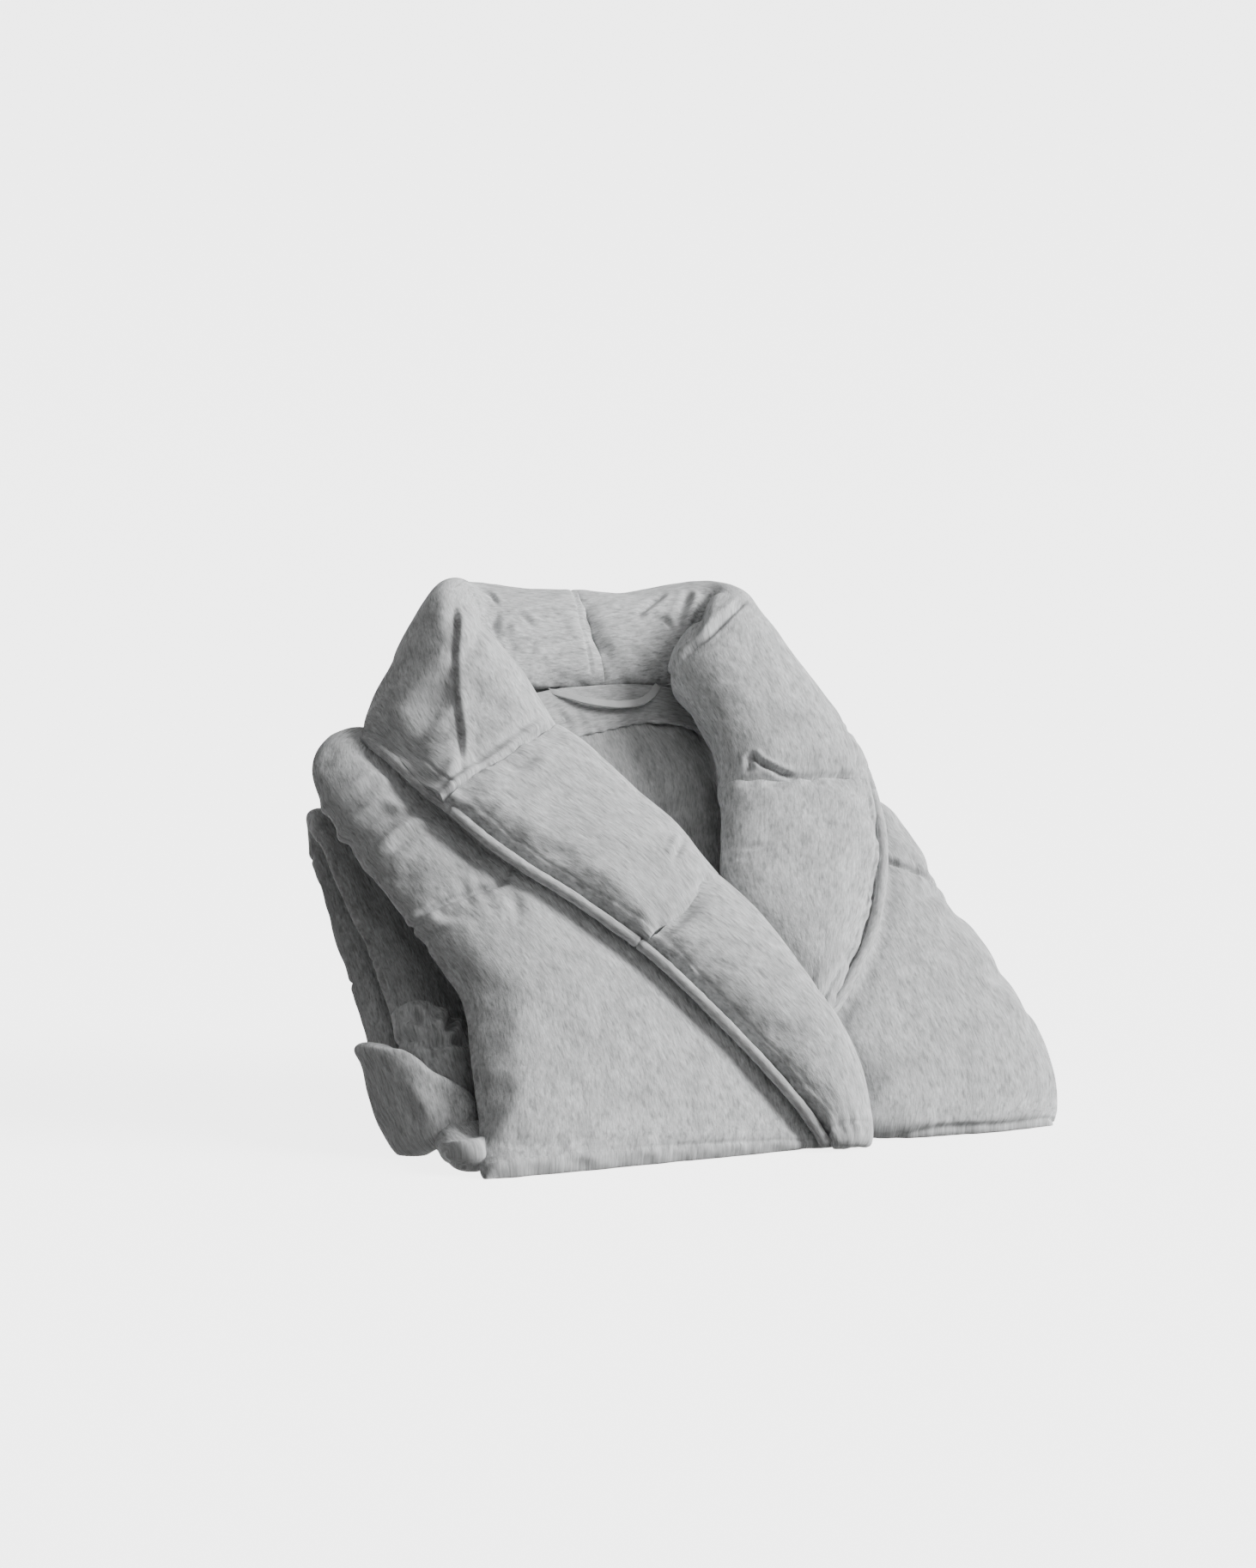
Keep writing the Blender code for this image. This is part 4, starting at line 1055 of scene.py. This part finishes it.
def lapel_right_band():
    """Below its seam the right lapel narrows to a band that ends at the hem."""
    sizes = bpy.context.scene.robe_sizes
    sections = mm([[(35.5, -2, 5), (40, -3.5, 6.8), (46, -4, 7), (52, -3.5, 6.5), (58.5, -2, 2),
                    (59, 6, -10)],
                   [(29.5, 18, 6.5), (36, 18, 8.5), (46, 19, 9.2), (55, 20, 8.5), (64, 21.5, 2),
                    (62, 23, -12)],
                   [(19, 43, 6.5), (28.5, 45, 8.8), (42, 47, 9.5), (56, 49, 8.5), (67, 51, 2),
                    (63, 52.5, -14)],
                   [(4.8, 71.5, 6.5), (18, 75, 8.8), (36, 79, 9.5), (53, 83, 8.5), (64, 86.5, 2),
                    (60, 88.5, -14)],
                   [(-17.2, 109.5, 6.5), (0, 113.5, 8.8), (20, 118, 9.5), (40, 122.5, 8.5),
                    (51.5, 126.5, 2), (47, 129, -14)],
                   [(-40.5, 145, 6.5), (-24, 150, 8.8), (-2, 157, 9.5), (19, 163, 8.5), (36, 169.5, 2),
                    (31, 172, -14)],
                   [(-59, 168, 6.5), (-47, 176.5, 8.5), (-30, 189, 9), (-12, 204, 8.5), (10, 223.5, 2),
                    (4, 227, -14)]])
    end_seam = mm([(31, 8.5), (44, 9.5), (62, 10.5)])

    detail = sewn(
        (crumple, sizes.crumple, 51),
        (seam, end_seam, 0.0014, 0.0013),
        (puckers, BAND_SEAM, 0.0006, 0.010, 0.013, 13),
        (puckers, BINDING_RIGHT[:6, :2], 0.0007, 0.010, 0.012, 15),
        (puckers, end_seam, 0.0009, 0.014, 0.009, 16),
        (seam, shift(BINDING_RIGHT[:7], 0.0105), 0.0006, 0.0009, 0.0),
    )

    piece = sewn_pad("lapel_band_right", overlap(sections, 0.0, 0.0034), LAPEL_PAD,
                     (0.007, 0.0015, 0.005, 0.008), [], detail)
    finish_pad(piece, "shell_bias", "shell_jersey", BAND_TURN, "lapel_right_band")
    stitched = shift(smooth_line(BINDING_RIGHT[:6], 0.01), 0.0088)
    stitches("band_stitches", piece, stitched, BAND_TURN)


def lapel_left():
    """The left lapel, under the right band at its foot and tucked at its head."""
    sizes = bpy.context.scene.robe_sizes
    sections = mm([[(53, 100, 4.5), (56, 101.5, 6), (58, 103, 6.5), (60, 104.5, 6), (58, 107.5, 1),
                    (56, 112, -12)],
                   [(73.5, 116, 6), (70, 118, 7), (65, 120.5, 7), (60, 123.5, 6), (54.5, 127.5, 0),
                    (53, 130, -13)],
                   [(94.5, 140, 6.5), (86, 142.5, 8.5), (75, 145, 8.5), (62, 148, 7), (49, 150, 0),
                    (48, 152, -13)],
                   [(115.5, 166, 6.5), (103, 168, 8.8), (85, 170, 9.2), (64, 172, 8), (42, 174.5, 0),
                    (42, 176, -13)],
                   [(133.5, 195.5, 6.5), (118, 196, 8.8), (94, 197, 9.5), (65, 198, 8.5), (34, 199.5, 0),
                    (35, 201, -13)],
                   [(147.8, 228, 6.5), (131, 227.5, 8.8), (104, 227, 9.5), (70, 227, 8.5),
                    (32.5, 227.5, 0), (35, 228, -14)],
                   [(157.2, 260, 6), (140, 259, 8.8), (112, 258, 9.5), (77, 257, 9), (41.5, 257, 1),
                    (44, 257, -14)],
                   [(161.5, 282, 5), (146, 281, 8.5), (118, 280, 9.5), (83, 280, 9), (49.5, 280, 1),
                    (52, 280, -14)],
                   [(162.8, 298.5, 4), (148, 298.5, 8), (120, 298, 9), (88, 298.5, 8.5), (54, 301.5, 0.5),
                    (57, 302, -15)]])

    detail = sewn(
        (crumple, sizes.crumple, 51),
        (seam, mm([(32, 233.5), (45, 234.5), (56, 235)]), 0.0016, 0.0012),
        (crease, mm([(34.4, 242), (47, 240), (60, 241)]), 0.0020, 0.0022, 0.4, 0.008),
        (puckers, BINDING_LEFT[:8, :2], 0.0007, 0.010, 0.013, 17),
        (puckers, TUCK_SEAM, 0.0010, 0.018, 0.015, 18),
        (seam, LEFT_GROOVE, 0.0020, 0.0012, 0.25),
        (roll, mm([(60, 270), (100, 240), (120, 210)]), 0.0014, 0.0120, 0.03),
    )

    piece = sewn_pad("lapel_pad_left", overlap(sections[:, ::-1], 0.0, 0.0020), LAPEL_PAD,
                     (0.004, 0.0015, 0.008, 0.005), [], detail)
    turn = ("root", "flap_left", (0.043, 0.200, 0.0075), (0.074, 0.200, 0.0075))
    finish_pad(piece, "shell_upright", "shell_jersey", turn, "lapel_left")
    stitched = shift(smooth_line(BINDING_LEFT[1:8], 0.01), -0.0088)
    stitches("lapel_stitches_left", piece, stitched, turn)


def binding_length(name, line, body, node):
    """One length of binding; it reaches a little way into the next."""
    piece = tube(name, overlap(line[:, None], 0.0012, 0.0012)[:, 0], BINDING_RADIUS, squash=0.98,
                 lump=0.07)
    finish_pad(piece, "binding", "rib_binding", body, node, fill=0.9)


def bindings():
    """Padded binding round the collar's edge, cut where the collar's seams are."""
    binding_length("binding_band", BINDING_RIGHT[:6], BAND_TURN, "piping_band_right")
    binding_length("binding_lapel_right", BINDING_RIGHT[5:10], "flap_right", "piping_lapel_right")
    binding_length("binding_collar_right", BINDING_RIGHT[9:], COLLAR_RIGHT_TURN, "piping_collar_right")
    binding_length("binding_lapel_left", BINDING_LEFT[:8], "flap_left", "piping_lapel_left")
    binding_length("binding_collar_left", BINDING_LEFT[7:], COLLAR_LEFT_TURN, "piping_collar_left")


def sleeves():
    """The sleeves folded in behind the back; the right cuff bunches out at the side."""
    sizes = bpy.context.scene.robe_sizes
    upper = {
        "sleeve_right_upper": mm([[(-168, 150), (-172, 230), (-168, 300), (-140, 348)],
                                  [(-18, 150), (-16, 230), (-18, 300), (-22, 348)]]),
        "sleeve_left_upper": mm([[(2, 150), (2, 230), (2, 300), (6, 348)],
                                 [(166, 150), (170, 230), (154, 300), (122, 348)]]),
        "sleeve_left_forearm": mm([[(2, 102), (2, 125), (2, 147)],
                                   [(160, 102), (162, 125), (160, 147)]]),
        "cuff_left": mm([[(164, 102), (166, 125), (164, 145)],
                         [(205, 103), (207, 125), (205, 143)]]),
    }
    for number, (name, (left, right)) in enumerate(upper.items()):
        rails = [[(u, v, SLEEVE_DEPTH) for u, v in rail] for rail in (left, right)]
        sections = spread(*rails, [0.0, 0.3, 0.7, 1.0], [0.0, 0.0, 0.0, 0.0])
        piece = sewn_pad(name + "_pad", sections, SLEEVE_PAD - 0.004, (0.008, 0.008, 0.008, 0.008), [],
                         lambda flat, n=number: crumple(flat, sizes.crumple * 1.6, 110 + n), levels=1)
        finish_pad(piece, "shell_upright", "shell_jersey", "root", name)
    forearm = mm([[(-216, 98, -88), (-196, 98, -80), (-150, 100, -84), (-20, 102, -84.5)],
                  [(-222, 124, -90), (-202, 124, -79), (-150, 118, -84), (-20, 118, -84.5)],
                  [(-224, 152, -92), (-203, 154, -81), (-170, 136, -84), (-20, 132, -84.5)],
                  [(-222, 182, -93), (-201, 184, -85), (-178, 170, -86), (-20, 146, -84.5)]])

    hub = mm([(-206, 138)])
    folds = mm([[(-228, 158), (-216, 150)], [(-216, 176), (-209, 156)], [(-199, 178), (-203, 156)],
                [(-182, 170), (-196, 150)], [(-176, 140), (-194, 140)], [(-224, 120), (-214, 130)]])
    wrung = sewn(
        (crumple, sizes.crumple * 1.2, 120),
        *[(crease, np.concatenate([fold, hub]), 0.0056, 0.0036, 0.5, 0.008) for fold in folds],
    )

    piece = sewn_pad("forearm_pad_right", forearm, 0.022, (0.009, 0.009, 0.010, 0.008), [], wrung)
    finish_pad(piece, "shell_upright", "shell_jersey", "root", "sleeve_right_forearm")
    cuff = mm([[(-240, 64, -88), (-236, 60, -78), (-226, 60, -66), (-213, 65, -60), (-196, 65, -60)],
               [(-244, 85, -93), (-238, 82, -80), (-227, 76, -64), (-213, 72, -57), (-195, 70, -59)],
               [(-248, 108, -96), (-241, 102, -81), (-229, 92, -63), (-213, 82, -56), (-194, 76, -59)],
               [(-249, 136, -96), (-243, 130, -82), (-232, 116, -64), (-214, 94, -57), (-193, 82, -60)],
               [(-250, 160, -97), (-246, 157, -85), (-235, 140, -68), (-215, 108, -60), (-193, 88, -61)]])

    bunched = sewn(
        (crumple, sizes.crumple * 0.8, 130),
        (roll, mm([(-240, 140), (-229, 122), (-212, 96), (-196, 82)]), 0.0016, 0.0045, 0.01),
        (crease, mm([(-247, 110), (-241, 85), (-236, 62)]), 0.0030, 0.0040),
        (crease, mm([(-230, 104), (-218, 88), (-200, 76)]), 0.0015, 0.0050),
    )

    piece = sewn_pad("cuff_pad_right", cuff, 0.024, (0.009, 0.008, 0.009, 0.008), [], bunched)
    finish_pad(piece, "shell_upright", "shell_jersey", "root", "cuff_right")


def skirt():
    """The skirt goes up behind the sleeves, over its top turn and down again to the floor."""
    sizes = bpy.context.scene.robe_sizes
    front = -0.1080
    back = -0.1370
    climb = [(0.128, front, -0.2140, 0.205), (0.150, front, -0.2150, 0.205),
             (0.184, front, -0.2170, 0.203), (0.212, front, -0.2190, 0.202),
             (0.248, front, -0.2225, 0.199), (0.275, front, -0.2280, 0.197),
             (0.305, front, -0.2325, 0.195), (0.332, front, -0.2360, 0.192)]
    over = [(0.352, front - 0.002, -0.2400, 0.190), (0.364, -0.1150, -0.2400, 0.189),
            (0.367, -0.1230, -0.2385, 0.189), (0.364, -0.1310, -0.2360, 0.188),
            (0.352, back + 0.001, -0.2345, 0.188)]
    descend = [(0.330, back, -0.2335, 0.188), (0.300, back, -0.2325, 0.190),
               (0.268, back, -0.2315, 0.193), (0.235, back, -0.2300, 0.196),
               (0.200, back, -0.2285, 0.199), (0.170, back, -0.2270, 0.201),
               (0.150, back, -0.2265, 0.202)]
    sections = []
    for up, depth, left, right in climb + over + descend:
        row = [(left + (right - left) * share, up, depth)
               for share in (0.0, 0.06, 0.2, 0.4, 0.6, 0.8, 0.94, 1.0)]
        sections.append(row)
    side_seams = mm([[(-248, 352), (-236, 345), (-205, 342)],
                     [(-232, 232), (-222, 236), (-200, 236)]])

    detail = sewn(
        (crumple, sizes.crumple * 0.7, 140),
        *[(seam, line, 0.0016, 0.0014) for line in side_seams],
        (seam, mm([(-1, 130), (1, 250), (-1, 372)]), 0.0022, 0.0016),
        (puckers, mm([(-1, 130), (1, 372)]), 0.0010, 0.020, 0.024, 23),
    )

    piece = sewn_pad("skirt_fold", sections, 0.0215, (0.008, 0.008, 0.010, 0.010),
                     [mm([(-1, 130), (-1, 372)])], detail, step=0.0085)
    finish_pad(piece, "shell_upright", "shell_jersey", "root", "skirt_middle_shell",
               "skirt_middle_wadding", "skirt_middle_lining", "skirt_top_turn", "skirt_rear_shell",
               "skirt_rear_wadding", "skirt_rear_lining")


def from_floor(rows):
    """Leaf points of sections given in the frame's own axes."""
    return to_leaf(np.asarray(rows, float))


def skirt_base():
    """The roll under the leaf, and the last fold of the skirt with its hem, on the floor."""
    sizes = bpy.context.scene.robe_sizes
    _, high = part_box("skirt_bottom_turn")
    tail_low, tail_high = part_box("skirt_tail")
    hem_low, hem_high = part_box("skirt_hem")
    middle = high.z / 2
    rows = []
    stations = np.linspace(0.0, 1.0, 9)
    start_y = (-0.160, -0.174, -0.180, -0.168, -0.142, -0.142, -0.142)
    for share in stations:
        inward = 0.016 * min(1.0, share / 0.45)
        columns = (-0.236 + inward, -0.229 + inward, -0.216, -0.195, 0.0, high.x - 0.030,
                   high.x - 0.006)
        rows.append([(x, y + (high.y - 0.002 - y) * share, middle)
                     for x, y in zip(columns, start_y)])

    lying = sewn((crumple, sizes.crumple, 150))

    piece = sewn_pad("skirt_roll", from_floor(rows), high.z - 0.001,
                     (0.010, 0.010, 0.012, 0.011), [], lying)
    finish_pad(piece, "shell_upright", "shell_jersey", "root", "skirt_bottom_turn")
    rows = []
    height = tail_high.z / 2
    for share in stations:
        y = tail_low.y + 0.001 + (tail_high.y - tail_low.y - 0.002) * share
        rise = height + 0.0015 * math.sin(math.pi * share)
        rows.append([(tail_low.x + (tail_high.x - tail_low.x) * s, y, rise)
                     for s in (0.0, 0.1, 0.35, 0.65, 0.9, 1.0)])

    folded = sewn((crumple, sizes.crumple * 1.6, 160))

    piece = sewn_pad("skirt_last_fold", from_floor(rows), tail_high.z - 0.002,
                     (0.016, 0.016, 0.016, 0.016), [], folded)
    finish_pad(piece, "shell_upright", "shell_jersey", "root", "skirt_tail")
    rows = []
    for share in (0.0, 0.3, 0.7, 1.0):
        y = hem_low.y - 0.002 + (hem_high.y - hem_low.y) * share
        rows.append([(hem_low.x + (hem_high.x - hem_low.x) * s, y, hem_high.z / 2)
                     for s in (0.0, 0.1, 0.35, 0.65, 0.9, 1.0)])
    piece = sewn_pad("skirt_hem_band", from_floor(rows), hem_high.z - 0.001,
                     (0.006, 0.006, 0.008, 0.008), [], lying, levels=1, step=0.005)
    finish_pad(piece, "binding", "rib_binding", "root", "skirt_hem", fill=0.4)


def pockets_and_belt():
    """Two pocket bags and the wound belt, flat between the skirt's folds."""
    sizes = bpy.context.scene.robe_sizes
    for number, name in enumerate(("pocket_right", "pocket_left", "waist_belt")):
        corners = to_leaf([vertex.co for vertex in frame["nodes"][name].data.vertices])
        (left, low, _), (right, high, _) = corners.min(axis=0), corners.max(axis=0)
        depth = corners[:, 2].mean()
        rows = []
        for up in np.linspace(low, high, 5):
            rows.append([(u, up, depth) for u in np.linspace(left, right, 5)])
        material = "tape" if name == "waist_belt" else "lining"
        slot = "shell_jersey" if name == "waist_belt" else "lining_jersey"
        piece = sewn_pad(name + "_pad", rows, 0.0048, (0.002, 0.002, 0.002, 0.002), [],
                         lambda flat, n=number: crumple(flat, sizes.crumple * 0.2, 170 + n), levels=1)
        finish_pad(piece, material, slot, "root", name, fill=0.3)


CAMERA_PLACE = (-0.9768, -2.0545, 0.4252)
CAMERA_TILT = 4.5646         # degrees down from level
CAMERA_TURN = 24.8018        # degrees to the right of straight ahead
BACKDROP_TURN = 24.8
BACKDROP_HALF = 6.0
BACKDROP_TOP = 6.0
FLOOR_REACH = 4.0            # how far the floor comes forward
SWEEP_START = 0.9
SWEEP_RADIUS = 1.4
KEY_WAY = (-0.79, 0.42, -0.46)
FILL_WAY = (-0.10, 0.75, -0.65)


def stage():
    """A pale floor that sweeps up into the backdrop, a soft key light and an even room."""
    values = bpy.context.scene.robe_stage
    turn = math.radians(BACKDROP_TURN)
    ahead = Vector((math.sin(turn), math.cos(turn), 0.0))
    aside = Vector((math.cos(turn), -math.sin(turn), 0.0))
    profile = [(-FLOOR_REACH, 0.0), (SWEEP_START, 0.0)]
    for i in range(1, 13):
        angle = math.pi / 2 * i / 12
        profile.append((SWEEP_START + SWEEP_RADIUS * math.sin(angle),
                        SWEEP_RADIUS * (1 - math.cos(angle))))
    profile.append((SWEEP_START + SWEEP_RADIUS, BACKDROP_TOP))
    verts = []
    for reach, height in profile:
        for side in (-BACKDROP_HALF, BACKDROP_HALF):
            verts.append(tuple(ahead * reach + aside * side + Vector((0, 0, height))))
    faces = [(2 * i, 2 * i + 1, 2 * i + 3, 2 * i + 2) for i in range(len(profile) - 1)]
    mesh = bpy.data.meshes.new("backdrop")
    mesh.from_pydata(verts, [], faces)
    mesh.shade_smooth()
    backdrop = new_object("backdrop", mesh)
    paper = bpy.data.materials.new("backdrop_paper")
    paper.use_nodes = True
    shader = paper.node_tree.nodes["Principled BSDF"]
    shader.inputs["Base Color"].default_value = (*values.floor, 1.0)
    shader.inputs["Roughness"].default_value = 1.0
    shader.inputs["Specular IOR Level"].default_value = 0.0
    shader.inputs["Emission Color"].default_value = (1.0, 1.0, 1.0, 1.0)
    shader.inputs["Emission Strength"].default_value = values.glow
    mesh.materials.append(paper)
    backdrop.visible_diffuse = False

    for name, strength, spread_of, way in (("key", values.key, 34, KEY_WAY),
                                           ("fill", values.fill, 60, FILL_WAY)):
        lamp = bpy.data.lights.new(name, "SUN")
        lamp.energy = strength
        lamp.angle = math.radians(spread_of)
        light = bpy.data.objects.new(name, lamp)
        light.rotation_euler = Vector(way).to_track_quat("-Z", "Y").to_euler()
        bpy.context.scene.collection.objects.link(light)

    room = bpy.data.worlds.new("room")
    room.use_nodes = True
    glow = room.node_tree.nodes["Background"]
    glow.inputs["Color"].default_value = (1.0, 1.0, 1.0, 1.0)
    glow.inputs["Strength"].default_value = values.room
    bpy.context.scene.world = room

    lens = bpy.data.cameras.new("camera")
    lens.lens = values.lens
    lens.sensor_width = 36.0
    lens.sensor_fit = "AUTO"
    camera = bpy.data.objects.new("camera", lens)
    camera.location = CAMERA_PLACE
    camera.rotation_euler = (math.radians(90 - CAMERA_TILT), 0.0, math.radians(-CAMERA_TURN))
    bpy.context.scene.collection.objects.link(camera)
    bpy.context.scene.camera = camera


# Operators: one for each piece or group of like pieces

class ROBE_OT_finishes(bpy.types.Operator):
    """Make the jersey, binding, tape and thread."""

    bl_idname = "robe.finishes"
    bl_label = "Finishes"

    def execute(self, context):
        make_finishes()
        return {"FINISHED"}


class ROBE_OT_front_right(bpy.types.Operator):
    """Build the right front panel."""

    bl_idname = "robe.front_right"
    bl_label = "Right front"

    def execute(self, context):
        front_right()
        return {"FINISHED"}


class ROBE_OT_front_left(bpy.types.Operator):
    """Build the left front panel."""

    bl_idname = "robe.front_left"
    bl_label = "Left front"

    def execute(self, context):
        front_left()
        return {"FINISHED"}


class ROBE_OT_back_panel(bpy.types.Operator):
    """Build the lined back inside the neck."""

    bl_idname = "robe.back_panel"
    bl_label = "Back"

    def execute(self, context):
        back_panel()
        return {"FINISHED"}


class ROBE_OT_neck_facing(bpy.types.Operator):
    """Build the shaped band under the neck seam."""

    bl_idname = "robe.neck_facing"
    bl_label = "Neck facing"

    def execute(self, context):
        neck_facing()
        return {"FINISHED"}


class ROBE_OT_hanging_loop(bpy.types.Operator):
    """Build the loop that the robe hangs by."""

    bl_idname = "robe.hanging_loop"
    bl_label = "Hanging loop"

    def execute(self, context):
        hanging_loop()
        return {"FINISHED"}


class ROBE_OT_collar(bpy.types.Operator):
    """Build both halves of the collar."""

    bl_idname = "robe.collar"
    bl_label = "Shawl collar"

    def execute(self, context):
        collar()
        return {"FINISHED"}


class ROBE_OT_lapel_right(bpy.types.Operator):
    """Build the right lapel and its band."""

    bl_idname = "robe.lapel_right"
    bl_label = "Right lapel"

    def execute(self, context):
        lapel_right()
        lapel_right_band()
        return {"FINISHED"}


class ROBE_OT_lapel_left(bpy.types.Operator):
    """Build the left lapel."""

    bl_idname = "robe.lapel_left"
    bl_label = "Left lapel"

    def execute(self, context):
        lapel_left()
        return {"FINISHED"}


class ROBE_OT_bindings(bpy.types.Operator):
    """Build the padded binding in five lengths."""

    bl_idname = "robe.bindings"
    bl_label = "Bindings"

    def execute(self, context):
        bindings()
        return {"FINISHED"}


class ROBE_OT_sleeves(bpy.types.Operator):
    """Build the folded sleeves and cuffs."""

    bl_idname = "robe.sleeves"
    bl_label = "Sleeves"

    def execute(self, context):
        sleeves()
        return {"FINISHED"}


class ROBE_OT_skirt(bpy.types.Operator):
    """Build the skirt's folds and the rolls on the floor."""

    bl_idname = "robe.skirt"
    bl_label = "Skirt"

    def execute(self, context):
        skirt()
        skirt_base()
        return {"FINISHED"}


class ROBE_OT_trims(bpy.types.Operator):
    """Build the pocket bags and the belt."""

    bl_idname = "robe.trims"
    bl_label = "Pockets and belt"

    def execute(self, context):
        pockets_and_belt()
        return {"FINISHED"}


class ROBE_OT_stage(bpy.types.Operator):
    """Set the floor, lights and camera."""

    bl_idname = "robe.stage"
    bl_label = "Stage"

    def execute(self, context):
        stage()
        return {"FINISHED"}


OPERATORS = [ROBE_OT_finishes, ROBE_OT_front_right, ROBE_OT_front_left, ROBE_OT_back_panel,
             ROBE_OT_neck_facing, ROBE_OT_hanging_loop, ROBE_OT_collar, ROBE_OT_lapel_right,
             ROBE_OT_lapel_left, ROBE_OT_bindings, ROBE_OT_sleeves, ROBE_OT_skirt, ROBE_OT_trims,
             ROBE_OT_stage]


class ROBE_PT_panel(bpy.types.Panel):
    """Lists the robe's pieces in the order they are made."""

    bl_label = "Folded bathrobe"
    bl_idname = "ROBE_PT_panel"
    bl_space_type = "VIEW_3D"
    bl_region_type = "UI"
    bl_category = "Robe"

    def draw(self, context):
        layout = self.layout
        for group in (context.scene.robe_sizes, context.scene.robe_colours,
                      context.scene.robe_stage):
            box = layout.box()
            for name in group.__annotations__:
                box.prop(group, name)
        for made in OPERATORS:
            layout.operator(made.bl_idname)


GROUPS = {"robe_sizes": RobeSizes, "robe_colours": RobeColours, "robe_stage": RobeStage}


def register():
    for name, group in GROUPS.items():
        bpy.utils.register_class(group)
        setattr(bpy.types.Scene, name, bpy.props.PointerProperty(type=group))
    for made in OPERATORS:
        bpy.utils.register_class(made)
    bpy.utils.register_class(ROBE_PT_panel)


def unregister():
    bpy.utils.unregister_class(ROBE_PT_panel)
    for made in reversed(OPERATORS):
        bpy.utils.unregister_class(made)
    for name, group in GROUPS.items():
        delattr(bpy.types.Scene, name)
        bpy.utils.unregister_class(group)


def main():
    register()
    for made in OPERATORS:
        action = made.bl_idname.split(".")[1]
        getattr(bpy.ops.robe, action)()
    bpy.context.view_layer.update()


if __name__ == "__main__":
    main()
